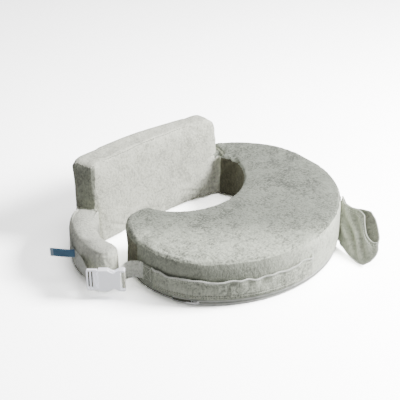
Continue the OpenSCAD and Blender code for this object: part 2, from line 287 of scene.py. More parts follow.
def tube(name, curve, radius, sides=8, closed=False, radii=None):
    """A round cord along a curve of points in mm."""
    C = np.asarray(curve, float)
    n = len(C)
    if closed:
        T = np.roll(C, -1, 0) - np.roll(C, 1, 0)
    else:
        T = np.gradient(C, axis=0)
    T /= np.maximum(np.linalg.norm(T, axis=1), 1e-9)[:, None]
    ref = np.array([0, 0, 1.0])
    A = np.cross(T, ref)
    bad = np.linalg.norm(A, axis=1) < 0.2
    A[bad] = np.cross(T[bad], [1.0, 0, 0])
    A /= np.linalg.norm(A, axis=1)[:, None]
    B = np.cross(A, T)
    R = np.full(n, radius) if radii is None else np.asarray(radii, float)
    V, F = [], []
    for i in range(n):
        for k in range(sides):
            t = 2 * math.pi * k / sides
            V.append(C[i] + R[i] * (math.cos(t) * A[i] + math.sin(t) * B[i]))
    last = n if closed else n - 1
    for i in range(last):
        j = (i + 1) % n
        for k in range(sides):
            l = (k + 1) % sides
            F.append((i * sides + k, i * sides + l, j * sides + l, j * sides + k))
    if not closed:
        F.append(tuple(range(sides - 1, -1, -1)))
        F.append(tuple((n - 1) * sides + k for k in range(sides)))
    return V, F


def merge(parts):
    """One list of points and faces from several."""
    V, F, n = [], [], 0
    for v, f in parts:
        V.extend(v)
        F.extend([tuple(i + n for i in face) for face in f])
        n += len(v)
    return V, F


def grid_faces(nu, nv, closed_v=False, start=0):
    F = []
    for i in range(nu - 1):
        for j in range(nv if closed_v else nv - 1):
            k = (j + 1) % nv
            F.append((start + i * nv + j, start + (i + 1) * nv + j, start + (i + 1) * nv + k, start + i * nv + k))
    return F


def sheet(name, mid, normal, thickness, closed_edge=True):
    """A closed sheet of fabric from a grid of middle points and normals, thickness in mm, one number or a grid."""
    nu, nv = mid.shape[:2]
    t = np.broadcast_to(np.asarray(thickness, float), (nu, nv))[..., None]
    top = (mid + normal * t / 2).reshape(-1, 3)
    bot = (mid - normal * t / 2).reshape(-1, 3)
    V = np.concatenate([top, bot])
    m = nu * nv
    F = grid_faces(nu, nv)
    F += [tuple(reversed([i + m for i in f])) for f in grid_faces(nu, nv)]
    rim = ([(i, 0) for i in range(nu)] + [(nu - 1, j) for j in range(1, nv)]
           + [(i, nv - 1) for i in range(nu - 2, -1, -1)] + [(0, j) for j in range(nv - 2, 0, -1)])
    ids = [i * nv + j for i, j in rim]
    for a, b in zip(ids, ids[1:] + ids[:1]):
        F.append((b, a, a + m, b + m))
    o = new_object(name, V, F)
    fix_normals(o)
    return o


def fix_normals(o):
    """Turns all faces outwards."""
    import bmesh
    bm = bmesh.new()
    bm.from_mesh(o.data)
    bmesh.ops.recalc_face_normals(bm, faces=bm.faces)
    bm.to_mesh(o.data)
    bm.free()
    o.data.update()
    return o


def paint(o, *mats):
    o.data.materials.clear()
    for m in mats:
        o.data.materials.append(m)


def paint_faces(o, choose):
    """choose(centres in mm, normals) gives a material index for every face."""
    n = len(o.data.polygons)
    c, nn = np.empty(n * 3, np.float32), np.empty(n * 3, np.float32)
    o.data.polygons.foreach_get("center", c)
    o.data.polygons.foreach_get("normal", nn)
    idx = choose(c.reshape(-1, 3) / MM - OFF, nn.reshape(-1, 3))
    o.data.polygons.foreach_set("material_index", np.asarray(idx, np.int32))
    o.data.update()


# ---------------------------------------------------------------- materials
def node_material(name):
    m = bpy.data.materials.new(name)
    m.use_nodes = True
    nt = m.node_tree
    nt.nodes.clear()
    out = nt.nodes.new("ShaderNodeOutputMaterial")
    b = nt.nodes.new("ShaderNodeBsdfPrincipled")
    nt.links.new(b.outputs["BSDF"], out.inputs["Surface"])
    co_ = nt.nodes.new("ShaderNodeTexCoord")
    return m, nt, b, co_


def mapped(nt, co_, scale):
    mp = nt.nodes.new("ShaderNodeMapping")
    mp.inputs["Scale"].default_value = scale
    nt.links.new(co_.outputs["Object"], mp.inputs["Vector"])
    return mp.outputs["Vector"]


def noise_tex(nt, vec, scale, detail=2.0, rough=0.5):
    n = nt.nodes.new("ShaderNodeTexNoise")
    n.inputs["Scale"].default_value = scale
    n.inputs["Detail"].default_value = detail
    n.inputs["Roughness"].default_value = rough
    nt.links.new(vec, n.inputs["Vector"])
    return n.outputs["Fac"]


def ramp(nt, fac, stops):
    r = nt.nodes.new("ShaderNodeValToRGB")
    e = r.color_ramp.elements
    e[0].position, e[0].color = stops[0][0], (*stops[0][1], 1)
    e[1].position, e[1].color = stops[-1][0], (*stops[-1][1], 1)
    for p, c in stops[1:-1]:
        k = e.new(p)
        k.color = (*c, 1)
    nt.links.new(fac, r.inputs["Fac"])
    return r.outputs["Color"]


def mix(nt, a, b, fac, mode="MIX"):
    m = nt.nodes.new("ShaderNodeMix")
    m.data_type = "RGBA"
    m.blend_type = mode
    if isinstance(fac, (int, float)):
        m.inputs["Factor"].default_value = fac
    else:
        nt.links.new(fac, m.inputs["Factor"])
    for s, v in ((6, a), (7, b)):
        if isinstance(v, tuple):
            m.inputs[s].default_value = (*v, 1)
        else:
            nt.links.new(v, m.inputs[s])
    return m.outputs[2]


def math_node(nt, op, a, b):
    m = nt.nodes.new("ShaderNodeMath")
    m.operation = op
    for i, v in enumerate((a, b)):
        if isinstance(v, (int, float)):
            m.inputs[i].default_value = v
        else:
            nt.links.new(v, m.inputs[i])
    return m.outputs[0]


def bump(nt, b, height, strength, distance):
    k = nt.nodes.new("ShaderNodeBump")
    k.inputs["Strength"].default_value = strength
    k.inputs["Distance"].default_value = distance
    nt.links.new(height, k.inputs["Height"])
    nt.links.new(k.outputs["Normal"], b.inputs["Normal"])


def shade(c, k):
    return tuple(min(1.0, x * k) for x in c)


def plush(name, base, mottle=0.16, nap=(1, 1, 1), sheen=0.35):
    """Short-pile plush: fine tufts, a brushed nap that runs one way, and broad patches where the pile leans."""
    m, nt, b, c = node_material(name)
    flat = mapped(nt, c, (1, 1, 1))
    tuft = noise_tex(nt, flat, 620, 3, 0.65)
    streak = noise_tex(nt, mapped(nt, c, nap), 230, 2, 0.55)
    patch = noise_tex(nt, flat, 34, 3, 0.6)
    broad = noise_tex(nt, flat, 9, 2, 0.5)
    crush = noise_tex(nt, mapped(nt, c, (1, 1.5, 1)), 190, 3, 0.62)
    fine = math_node(nt, "ADD", math_node(nt, "MULTIPLY", tuft, 0.5), math_node(nt, "MULTIPLY", streak, 0.5))
    wide = math_node(nt, "ADD", math_node(nt, "MULTIPLY", patch, 0.30), math_node(nt, "MULTIPLY", broad, 0.18))
    wide = math_node(nt, "ADD", wide, math_node(nt, "MULTIPLY", crush, 0.52))
    a = ramp(nt, fine, [(0.30, shade(base, 1 - mottle * 1.5)), (0.5, base), (0.70, shade(base, 1 + mottle * 1.2))])
    w = ramp(nt, wide, [(0.41, (1 - mottle * 2.0,) * 3), (0.50, (0.90, 0.90, 0.90)), (0.59, (1.0, 1.0, 1.0))])
    col = mix(nt, a, w, 1.0, "MULTIPLY")
    nt.links.new(col, b.inputs["Base Color"])
    b.inputs["Roughness"].default_value = 0.92
    b.inputs["Specular IOR Level"].default_value = 0.18
    b.inputs["Sheen Weight"].default_value = sheen
    b.inputs["Sheen Roughness"].default_value = 0.45
    b.inputs["Sheen Tint"].default_value = (0.93, 0.95, 0.90, 1)
    bump(nt, b, math_node(nt, "ADD", fine, math_node(nt, "MULTIPLY", crush, 0.9)), 0.85, 0.0019)
    return m


def painted_shading_copy(m, name, other, attr="neck_shade"):
    """A copy of a plush with painted light and shade: its colour runs towards itself times another colour along one of
    the mesh's attributes.
    """
    c = m.copy()
    c.name = name
    nt = c.node_tree
    b = next(n for n in nt.nodes if n.type == "BSDF_PRINCIPLED")
    src = b.inputs["Base Color"].links[0].from_socket
    a = nt.nodes.new("ShaderNodeAttribute")
    a.attribute_name = attr
    dark = mix(nt, src, other, 1.0, "MULTIPLY")
    nt.links.new(mix(nt, src, dark, a.outputs["Fac"]), b.inputs["Base Color"])
    return c


def thread_material(name, base):
    m, nt, b, c = node_material(name)
    v = mapped(nt, c, (1, 1, 1))
    w = nt.nodes.new("ShaderNodeTexWave")
    w.inputs["Scale"].default_value = 900
    w.inputs["Distortion"].default_value = 3
    nt.links.new(v, w.inputs["Vector"])
    n = noise_tex(nt, v, 1400, 2)
    col = ramp(nt, n, [(0.3, shade(base, 0.8)), (0.7, shade(base, 1.08))])
    nt.links.new(col, b.inputs["Base Color"])
    b.inputs["Roughness"].default_value = 0.7
    b.inputs["Sheen Weight"].default_value = 0.2
    bump(nt, b, w.outputs["Fac"], 0.5, 0.0003)
    return m


def woven_material(name, base, scale=1100, strength=0.5, rough=0.75):
    m, nt, b, c = node_material(name)
    v = mapped(nt, c, (1, 1, 1))
    w1 = nt.nodes.new("ShaderNodeTexWave")
    w1.bands_direction = "Z"
    w1.inputs["Scale"].default_value = scale * 0.5
    w2 = nt.nodes.new("ShaderNodeTexWave")
    w2.bands_direction = "DIAGONAL"
    w2.inputs["Scale"].default_value = scale * 0.5
    for w in (w1, w2):
        nt.links.new(v, w.inputs["Vector"])
    h = math_node(nt, "MULTIPLY", w1.outputs["Fac"], w2.outputs["Fac"])
    n = noise_tex(nt, v, 60, 3)
    a = ramp(nt, h, [(0.0, shade(base, 0.82)), (0.8, shade(base, 1.05))])
    t = ramp(nt, n, [(0.3, (0.88, 0.88, 0.88)), (0.7, (1, 1, 1))])
    nt.links.new(mix(nt, a, t, 1.0, "MULTIPLY"), b.inputs["Base Color"])
    b.inputs["Roughness"].default_value = rough
    bump(nt, b, h, strength, 0.0002)
    return m


def plastic_material(name, base, rough=0.33):
    m, nt, b, c = node_material(name)
    v = mapped(nt, c, (1, 1, 1))
    grain = noise_tex(nt, v, 900, 2)
    cloud = noise_tex(nt, v, 45, 3)
    nt.links.new(ramp(nt, cloud, [(0.3, shade(base, 0.965)), (0.7, base)]), b.inputs["Base Color"])
    r = nt.nodes.new("ShaderNodeMapRange")
    r.inputs["To Min"].default_value = rough - 0.06
    r.inputs["To Max"].default_value = rough + 0.10
    nt.links.new(cloud, r.inputs["Value"])
    nt.links.new(r.outputs["Result"], b.inputs["Roughness"])
    b.inputs["Subsurface Weight"].default_value = 0.05
    b.inputs["Subsurface Radius"].default_value = (0.002, 0.002, 0.002)
    bump(nt, b, grain, 0.12, 0.0001)
    return m


def metal_material(name, base):
    m, nt, b, c = node_material(name)
    v = mapped(nt, c, (1, 1, 6))
    scratch = noise_tex(nt, v, 700, 3)
    nt.links.new(ramp(nt, scratch, [(0.3, shade(base, 0.8)), (0.7, base)]), b.inputs["Base Color"])
    b.inputs["Metallic"].default_value = 1.0
    r = nt.nodes.new("ShaderNodeMapRange")
    r.inputs["To Min"].default_value = 0.28
    r.inputs["To Max"].default_value = 0.5
    nt.links.new(scratch, r.inputs["Value"])
    nt.links.new(r.outputs["Result"], b.inputs["Roughness"])
    bump(nt, b, scratch, 0.15, 0.0001)
    return m


def foam_material(name, base):
    m, nt, b, c = node_material(name)
    v = mapped(nt, c, (1, 1, 1))
    n = noise_tex(nt, v, 900, 3, 0.7)
    nt.links.new(ramp(nt, n, [(0.35, shade(base, 0.75)), (0.6, base)]), b.inputs["Base Color"])
    b.inputs["Roughness"].default_value = 0.95
    bump(nt, b, n, 0.8, 0.0006)
    return m


SAGE = (0.445, 0.468, 0.388)
# Painted light and shade: the top plush is a lit copy of the sage, the wall plush a shaded copy and the pocket plush a
# lit copy; the top is painted darker towards its far side, the wall and pocket lighter round to the right.
TOP = painted_shading_copy(plush("plush_top_base", shade(SAGE, 1.50), 0.29, (1, 0.45, 1)), "plush_top", (0.40, 0.405, 0.41), "painted_shading")
WALL = painted_shading_copy(plush("plush_wall_base", shade(SAGE, 0.87), 0.17, (1, 1, 0.5)), "plush_wall", (2.05, 2.02, 2.06), "painted_shading")
POCKET = painted_shading_copy(plush("plush_pocket_base", shade(SAGE, 1.14), 0.25, (1, 1, 0.7)), "plush_pocket", (1.32, 1.30, 1.32), "painted_shading")
DARK = plush("plush_shade", (0.255, 0.250, 0.190), 0.20, (1, 1, 0.4), 0.15)
# Painted shade: a near-black plush for the shaded inner wall, the curl by the backrest and the strap behind the plug's
# slots.
DEEP_SHADE = plush("plush_deep_shade", (0.130, 0.126, 0.090), 0.18, (1, 1, 0.4), 0.08)
# Painted light: a lit copy of the sage plush, used on the backrest, the arm's tip and the strap's turn round the bar.
PLUSH_LIT = plush("plush_lit", (0.790, 0.800, 0.680), 0.17, (1, 1, 0.7))
# Painted shade: the backrest's near end panel, turned away from the key light.
END_SHADE = plush("plush_end_shade", (0.370, 0.385, 0.320), 0.22, (1, 1, 0.3), 0.2)
ARM = plush("plush_arm", (0.700, 0.710, 0.620), 0.17, (1, 1, 0.4))
# Painted light and shade: the neck plush is a lit copy of the sage that darkens into painted shade towards the inner
# wall.
NECK = painted_shading_copy(plush("plush_neck_base", (0.880, 0.890, 0.765), 0.15, (1, 1, 0.7)), "plush_neck", (0.155, 0.147, 0.117))
STRAP = plush("plush_strap", (0.87, 0.89, 0.80), 0.20, (1, 1, 0.4), 0.3)
HEM = thread_material("hem_thread", (0.62, 0.65, 0.56))
# Painted shade: the inside of the pouch's mouth.
MOUTH_SHADE = plush("plush_mouth_shade", (0.440, 0.455, 0.370), 0.2, (1, 1, 1), 0.05)
BAG = plush("plush_bag", (0.600, 0.630, 0.530), 0.20, (1, 1, 0.4), 0.25)
# Painted shade: the pouch plush darkens in the valleys of its folds.
BAG_FOLD_SHADE = painted_shading_copy(BAG, "plush_bag_fold_shade", (0.36, 0.37, 0.33), "painted_shading")
# Painted shade: the zip lining, inside the cover.
INSIDE_SHADE = plush("plush_inside_shade", (0.300, 0.310, 0.245), 0.2, (1, 1, 1), 0.05)
BIND = thread_material("serged_binding", (0.76, 0.78, 0.71))
THREAD = thread_material("sewing_thread", (0.82, 0.84, 0.77))
SEAM = thread_material("seam_shade", (0.30, 0.31, 0.26))
# Painted shadow: near-black thread for the pouch's seam ladder, standing in for the shadow in the gap behind it.
LADDER_THREAD_SHADOW = thread_material("ladder_thread_with_gap_shadow", (0.10, 0.10, 0.08))
TAPE = woven_material("zip_tape_weave", (0.80, 0.81, 0.77))
COIL = plastic_material("zip_coil_nylon", (0.86, 0.87, 0.83), 0.4)
METAL = metal_material("zip_metal", (0.88, 0.88, 0.89))
BUCKLE = plastic_material("buckle_acetal", (0.94, 0.95, 0.98), 0.3)
# Painted light: the buckle's white plastic glows faintly, so it stays bright white.
for _n in BUCKLE.node_tree.nodes:
    if _n.type == "BSDF_PRINCIPLED":
        _n.inputs["Emission Color"].default_value = (0.90, 0.92, 1.0, 1)
        _n.inputs["Emission Strength"].default_value = 0.58
LABEL = woven_material("label_blue", (0.095, 0.235, 0.40), 1500, 0.35, 0.5)
LABELPALE = woven_material("label_pale", (0.42, 0.56, 0.70), 1500, 0.35, 0.5)
FOAM = foam_material("foam", (0.72, 0.70, 0.60))


# ---------------------------------------------------------------- plan of the crescent, as in the CAD
c1, r1 = np.array([0.0, 33.0]), 262.0
j2 = c1 + r1 * np.array([math.cos(rad(225)), math.sin(rad(225))])
j3 = c1 + r1 * np.array([math.cos(rad(315)), math.sin(rad(315))])
r2, r3 = 165.0, 203.0
c2 = j2 - r2 * np.array([math.cos(rad(225)), math.sin(rad(225))])
c3 = j3 - r3 * np.array([math.cos(rad(315)), math.sin(rad(315))])
y_horn, r_horn = 67.0, 46.0
horn_a = 180 - math.degrees(math.asin((y_horn - r_horn - c2[1]) / (r2 - r_horn)))
ch = c2 + (r2 - r_horn) * np.array([math.cos(rad(horn_a)), math.sin(rad(horn_a))])
ci, ri = np.array([-10.0, 127.0]), 138.0
rk, ka = 43.0, -18.4
ck = ci + (ri - rk) * np.array([math.cos(rad(ka)), math.sin(rad(ka))])
rr = 12.0
cr = np.array([ci[0] - math.sqrt((ri + rr) ** 2 - (y_horn - rr - ci[1]) ** 2), y_horn - rr])
cr_a = math.degrees(math.atan2(ci[1] - cr[1], ci[0] - cr[0]))
x_end, y_end = 129.0, 131.0


def outer_side(d, step=1.5):
    return np.concatenate([[[-160, y_horn - d]], arc(ch, r_horn - d, 90, horn_a, step), arc(c2, r2 - d, horn_a, 225, step),
                           arc(c1, r1 - d, 225, 315, step),
                           arc(c3, r3 - d, 315, 360 + math.degrees(math.acos((x_end + d - c3[0]) / (r3 - d))), step)])


def inner_side(d, step=2.0):
    return np.concatenate([[[x_end + d, y_end - d]],
                           arc(ck, rk + d, math.degrees(math.asin((y_end - d - ck[1]) / (rk + d))), ka, step),
                           arc(ci, ri + d, ka, cr_a - 180, step), arc(cr, rr - d, cr_a, 90, 6), [[-160, y_horn - d]]])


def level(plan, z):
    plan = np.asarray(plan, float)
    return np.column_stack([plan, np.full(len(plan), z)])


def band_point(a, g=0.0):
    """Point on the outer side by angle: about c2 below 225 degrees, about c1 up to 315, about c3 beyond."""
    c, r = (c2, r2) if a < 225 else ((c1, r1) if a <= 315 else (c3, r3))
    return c + (r + g) * np.array([math.cos(rad(a)), math.sin(rad(a))])


def painted_shading_of(o):
    """Painted light and shade, 0 to 1: on top from the near side to the far side, painted darker there, and on the wall
    round to the right, painted lighter there; it stands in for how the pile's nap catches the light.
    """
    P, N = co(o), normals(o)
    far = smoothstep(-205, -70, 0.688 * P[:, 0] + 0.727 * P[:, 1])
    far = np.clip(far + 0.10 * vnoise(P, 45, 141), 0, 1)
    a = np.degrees(np.arctan2(P[:, 1] - c1[1], P[:, 0] - c1[0])) % 360
    a = np.where(a < 90, a + 360, a)
    right = smoothstep(243, 285, a + 4 * vnoise(P, 40, 142))
    v = np.where(N[:, 2] > 0.45, far, right)
    k = o.data.attributes.new("painted_shading", "FLOAT", "POINT")
    k.data.foreach_set("value", v.astype(np.float32))


def fold_shade_of(o, size=1.2, rounds=24):
    """Painted shade in folds: 0 on the crowns of folds, 1 down in their valleys, where the colour is darkened."""
    P, N, E = co(o), normals(o), edges(o)
    s = np.sum((P - relax(P, E, rounds, 0.5)) * N, axis=1)
    v = np.clip(0.42 - s / (2 * size), 0, 1)
    k = o.data.attributes.new("painted_shading", "FLOAT", "POINT")
    k.data.foreach_set("value", v.astype(np.float32))


# ---------------------------------------------------------------- crescent cushion
def make_crescent():
    d = 1.6
    plan = np.concatenate([outer_side(d), inner_side(d)])
    o = prism("crescent_cover", plan, 1.8, 98.6)
    remesh(o, 4.6)
    P, E = co(o), edges(o)
    P = relax(P, E, 3, 0.5)
    # the horn's end is padded rounder than the rest
    horn = smoothstep(-150, -215, P[:, 0]) * smoothstep(-10, 40, P[:, 1])
    P = relax(P, E, 9, 0.5, weight=horn * smoothstep(60, 85, P[:, 2]))
    set_co(o, P)
    seams = np.concatenate([along(level(outer_side(2.2), 97.5), 3), along(level(inner_side(2.2), 97.5), 3),
                            along(level(outer_side(2.2), 3), 3), along(level(inner_side(2.2), 3), 3)])
    dist, _ = distance_to(P, seams)
    puff(o, 3.4, 4.0, 20, pinned=np.clip(1.15 - dist / 9.0, 0, 1) * (dist < 9), stiff=14, grow=0.015)
    P, E = co(o), edges(o)
    P = relax(P, E, 1, 0.4)
    set_co(o, P)
    subdivide(o, 1)

    # the underside rests flat, and its rim bulges out over the floor a little
    P, N = co(o), normals(o)
    P[:, 2] = np.where(P[:, 2] < 6, 1.2 + (P[:, 2] - 1.2) * smoothstep(-3, 6, P[:, 2]), P[:, 2])
    side = np.clip(1 - np.abs(N[:, 2]) * 1.4, 0, 1)
    P += N * (side * (1.3 * smoothstep(60, 14, P[:, 2]) + 0.5 * fbm(P, (48, 48, 60), 5)))[:, None]
    # the top is faintly uneven
    top = smoothstep(0.7, 0.95, N[:, 2])
    P[:, 2] += top * (0.9 * fbm(P, 62, 11, 2) + 0.35 * fbm(P, 21, 12, 2))
    # soft folds that fan out where the band curls towards the backrest
    q = P[:, :2] - np.array([96.0, 112.0])
    ang, dist = np.degrees(np.arctan2(q[:, 1], q[:, 0])), np.linalg.norm(q, axis=1)
    fan = smoothstep(-25, 8, ang) * smoothstep(100, 70, ang) * smoothstep(26, 44, dist) * smoothstep(118, 70, dist)
    folds = np.sin(np.radians(ang) * 17 + 1.4 * vnoise(P, 40, 21)) * (0.6 + 0.4 * vnoise(P, 30, 22))
    P[:, 2] += top * fan * 1.25 * folds
    # one pinch at the inner edge, where the fold begins
    for pin, depth, size in ((np.array([122.0, 96.0, 98.0]), 2.6, 9.0), (np.array([124.5, 110.0, 97.0]), 0.8, 10.0)):
        dd = np.linalg.norm(P - pin, axis=1)
        P[:, 2] -= depth * np.exp(-(dd / size) ** 2)
    for a, ln, dp in ((12, 44, 2.2), (-24, 34, 1.5), (48, 40, 1.6)):
        u = np.array([math.cos(rad(a)), math.sin(rad(a))])
        rel = P[:, :2] - np.array([122.0, 97.0])
        s, t = rel @ u, rel @ np.array([-u[1], u[0]])
        P[:, 2] -= top * dp * np.exp(-(t / 3.6) ** 2) * smoothstep(-2, 5, s) * smoothstep(ln, 8, s)
    # the wall steps in along its foot to make room for the zip
    v1, v2 = P[:, :2] - c1, P[:, :2] - c2
    a1 = np.degrees(np.arctan2(v1[:, 1], v1[:, 0])) % 360
    a2 = np.degrees(np.arctan2(v2[:, 1], v2[:, 0])) % 360
    R1, R2 = np.linalg.norm(v1, axis=1), np.linalg.norm(v2, axis=1)
    low = smoothstep(14.2, 11.6, P[:, 2]) * smoothstep(0.8, 3.2, P[:, 2])
    on1 = smoothstep(217.5, 219.5, a1) * smoothstep(313.5, 311.5, a1)
    on2 = smoothstep(201, 204, a2) * (a2 < 226)
    lim1, lim2 = r1 - 4.2, r2 - 4.6
    pull1 = np.maximum(R1 - lim1, 0) * low * on1
    P[:, :2] -= v1 / R1[:, None] * pull1[:, None]
    v2 = P[:, :2] - c2
    R2 = np.linalg.norm(v2, axis=1)
    pull2 = np.maximum(R2 - lim2, 0) * low * on2 * (a1 < 226)
    P[:, :2] -= v2 / R2[:, None] * pull2[:, None]
    # the notch beside the backrest keeps clear of it
    back = P[:, 1] > 120
    P[:, 0] = np.where(back & (P[:, 0] < 130.5) & (P[:, 1] > 134), np.maximum(P[:, 0], 128.4), P[:, 0])
    rimline = along(level(outer_side(0), 98), 3)
    dist, near_ = distance_to(P, rimline)
    u = P[:, :2] - c3
    far = np.degrees(np.arctan2(u[:, 1], u[:, 0]))
    lift = 3.5 * smoothstep(-60, -30, far) + 5.0 * smoothstep(-5, 25, far)
    lift *= (np.hypot(u[:, 0], u[:, 1]) > r3 - 60) * (P[:, 2] > 45) * np.exp(-(dist / 24.0) ** 2)
    u /= np.maximum(np.linalg.norm(u, axis=1), 1)[:, None]
    P[:, 2] += lift * 0.88
    P[:, :2] += u * (lift * 0.35)[:, None]
    P[:, 2] = np.maximum(P[:, 2], 0.4)
    set_co(o, P)

    crease(o, level(outer_side(1.2), 97.6), 0.9, 2.2, 0.15, wander=0.5, seed=31)
    crease(o, level(inner_side(1.2), 97.6), 0.5, 2.2, 0.05, wander=0.3, seed=32)
    crease(o, level(inner_side(1.0), 3.2), 1.0, 2.6)
    crease(o, np.array([[*band_point(171.5), z] for z in np.linspace(4, 84, 36)]), 1.4, 2.4, 0.1)
    crease(o, np.array([[*(c3 + (r3 + 1) * np.array([math.cos(rad(-39)), math.sin(rad(-39))])), z] for z in np.linspace(4, 95, 40)]), 2.2, 2.6)

    # Painted shade: the inner wall and the curl by the backrest take the deep shade plush and the horn's left-hand wall
    # the shade plush, where the key light from the right does not reach.
    def panel(c, n):
        w1_, w2_ = c[:, :2] - c2, c[:, :2] - ch
        t2 = np.degrees(np.arctan2(w1_[:, 1], w1_[:, 0])) % 360
        up = n[:, 2] > 0.5
        horn_left = (c[:, 2] < 91) & (c[:, 0] < -140) & (t2 < 171.5) & (t2 > 100) & (np.hypot(w1_[:, 0], w1_[:, 1]) > 100) & ~up
        inside = (np.hypot(c[:, 0] - ci[0], c[:, 1] - ci[1]) < ri + 7) & (c[:, 1] < 128) & ~up
        curl = (np.hypot(c[:, 0] - ck[0], c[:, 1] - ck[1]) < rk + 8) & (c[:, 0] > 95) & ~up
        return np.where(up, 0, np.where(inside | curl, 3, np.where(horn_left, 2, 1)))
    paint(o, TOP, WALL, DARK, DEEP_SHADE)
    paint_faces(o, panel)
    painted_shading_of(o)
    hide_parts("crescent_foam", "crescent_top_panel", "crescent_bottom_panel", "crescent_outer_wall",
                "crescent_inner_wall", "neck_panel")
    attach(o, "crescent")
    return o


# ---------------------------------------------------------------- backrest cushion
def face_front(x, z):
    return 148 - (x + 44) ** 2 / 2900.0 + z * math.tan(rad(5))


def face_back(x):
    return 208 - (x + 44) ** 2 / 3020.0


def make_backrest():
    d = 1.6
    H = 180.0
    cot = 1 / math.tan(rad(118.5))

    def station(s):
        pts = []
        for front, low in ((True, True), (True, False), (False, False), (False, True)):
            # the near end is slanted in plan, so x depends on y
            x = -210 + s * 336
            for _ in range(3):
                if s < 0.5:
                    e = min(s * 336, 20.0)
                    top = H - d - 15 * (1 - math.sqrt(max(0.0, 1 - (1 - e / 20.0) ** 2))) if e < 20 else H - d
                else:
                    e = min((1 - s) * 336, 30.0)
                    top = H - d - 27 * (1 - math.sqrt(max(0.0, 1 - (1 - e / 30.0) ** 2))) if e < 30 else H - d
                z = d if low else top
                y = face_front(x, z) + d if front else face_back(x) - d
                near = -154 + d / math.sin(rad(118.5)) + (y - 55) * cot
                x = near + s * (126 - d - near)
            pts.append((x, y, z))
        return pts
    S = np.concatenate([np.linspace(0, 0.1, 14)[:-1], np.linspace(0.1, 0.9, 30)[:-1], np.linspace(0.9, 1, 13)])
    V, F = [], []
    for s in S:
        V += station(s)
    n = len(S)
    for i in range(n - 1):
        for k in range(4):
            l = (k + 1) % 4
            F.append((4 * i + k, 4 * i + l, 4 * i + 4 + l, 4 * i + 4 + k))
    F += [(3, 2, 1, 0), (4 * n - 4, 4 * n - 3, 4 * n - 2, 4 * n - 1)]
    o = new_object("backrest_cover", V, F)
    fix_normals(o)
    remesh(o, 4.6)
    P, E = co(o), edges(o)
    P = relax(P, E, 4, 0.5)
    set_co(o, P)
    rim = []
    for front in (True, False):
        line = []
        for s in S:
            p = station(s)
            line.append(p[1] if front else p[2])
        rim.append(np.array(line))
    corners = np.array(station(0.0)), np.array(station(1.0))
    verticals = [np.array([corners[0][0], corners[0][1]]), np.array([corners[0][3], corners[0][2]]),
                 np.array([corners[1][0], corners[1][1]]), np.array([corners[1][3], corners[1][2]])]
    feet = [np.array([station(s)[0] for s in S]), np.array([station(s)[3] for s in S])]
    held = np.concatenate([along(r, 3) for r in rim + verticals + feet])
    dist, _ = distance_to(P, held)
    puff(o, 4.0, 4.0, 20, pinned=np.clip(1.1 - dist / 10.0, 0, 1) * (dist < 10), stiff=12, grow=0.015)
    P, E = co(o), edges(o)
    P = relax(P, E, 2, 0.5)
    set_co(o, P)
    subdivide(o, 1)
    P, N = co(o), normals(o)
    P[:, 2] = np.where(P[:, 2] < 7, 1.4 + (P[:, 2] - 1.4) * smoothstep(-4, 7, P[:, 2]), P[:, 2])
    P[:, 2] = np.maximum(P[:, 2], 0.5)
    # slack in the cover: long shallow dimples, and small tucks low on the front
    side = np.clip(1 - np.abs(N[:, 2]) * 1.2, 0, 1)
    P += N * (side * (0.9 * fbm(P, (60, 60, 46), 41) + 0.35 * fbm(P, 22, 42, 2)))[:, None]
    front = smoothstep(-0.6, -0.9, N[:, 1])
    for x, z, a, ln, dp in ((-92, 34, 20, 26, 1.5), (-60, 28, -14, 30, 1.2), (78, 58, 35, 26, 1.6), (92, 44, 20, 24, 1.2),
                            (-20, 20, 8, 30, 0.9), (30, 108, 24, 34, 0.8), (-150, 26, -30, 30, 1.6), (60, 24, -20, 40, 1.6)):
        u = np.array([math.cos(rad(a)), math.sin(rad(a))])
        rel = np.stack([P[:, 0] - x, P[:, 2] - z], 1)
        s, t = rel @ u, rel @ np.array([-u[1], u[0]])
        P[:, 1] += front * dp * np.exp(-(s / ln) ** 2) * (np.exp(-(t / 3.4) ** 2) - 0.55 * np.exp(-((t - 7) / 4.5) ** 2))
    # the near half of the rim stands full
    full = 10.5 * smoothstep(95, -90, P[:, 0])
    line = along(rim[1] + [0, 1.0, 1.0], 3)
    dist, _ = distance_to(P, line)
    g = full * np.exp(-(dist / 21.0) ** 2)
    P[:, 2] += g * 0.80
    P[:, 1] += g * 0.42
    line = along(rim[0] + [0, -1.0, 1.0], 3)
    dist, _ = distance_to(P, line)
    g = 0.45 * full * np.exp(-(dist / 18.0) ** 2)
    P[:, 2] += g * 0.8
    P[:, 1] -= g * 0.3
    # the far end keeps clear of the crescent's end
    P[:, 0] = np.where(P[:, 2] < 104, np.minimum(P[:, 0], 127.2), np.minimum(P[:, 0], 129.5))
    set_co(o, P)
    top_front = rim[0].copy()
    top_back = rim[1].copy()
    crease(o, top_front + [0, -1.5, 1.5], 1.3, 2.0, 0.2, wander=0.6, seed=51)
    crease(o, top_back + [0, 1.5, 1.5], 0.9, 2.3, 0.1, wander=0.5, seed=52)
    crease(o, verticals[0], 0.8, 2.3, 0.1, wander=0.3, seed=53)
    crease(o, verticals[1], 0.8, 2.3, 0.1, wander=0.3, seed=54)
    crease(o, verticals[2], 0.7, 2.3, 0.1)
    crease(o, verticals[3], 0.7, 2.3, 0.1)

    # Painted light and shade: the backrest takes the lit plush, and its near end panel, turned from the key light, the
    # end shade plush.
    def panel(c, n):
        near = (c[:, 0] < -198 - (180 - c[:, 2]) * 0.08) & (n[:, 2] < 0.6) & (n[:, 1] < 0.6) & (c[:, 2] > 80)
        return np.where(near, 1, 0)
    paint(o, PLUSH_LIT, END_SHADE)
    paint_faces(o, panel)
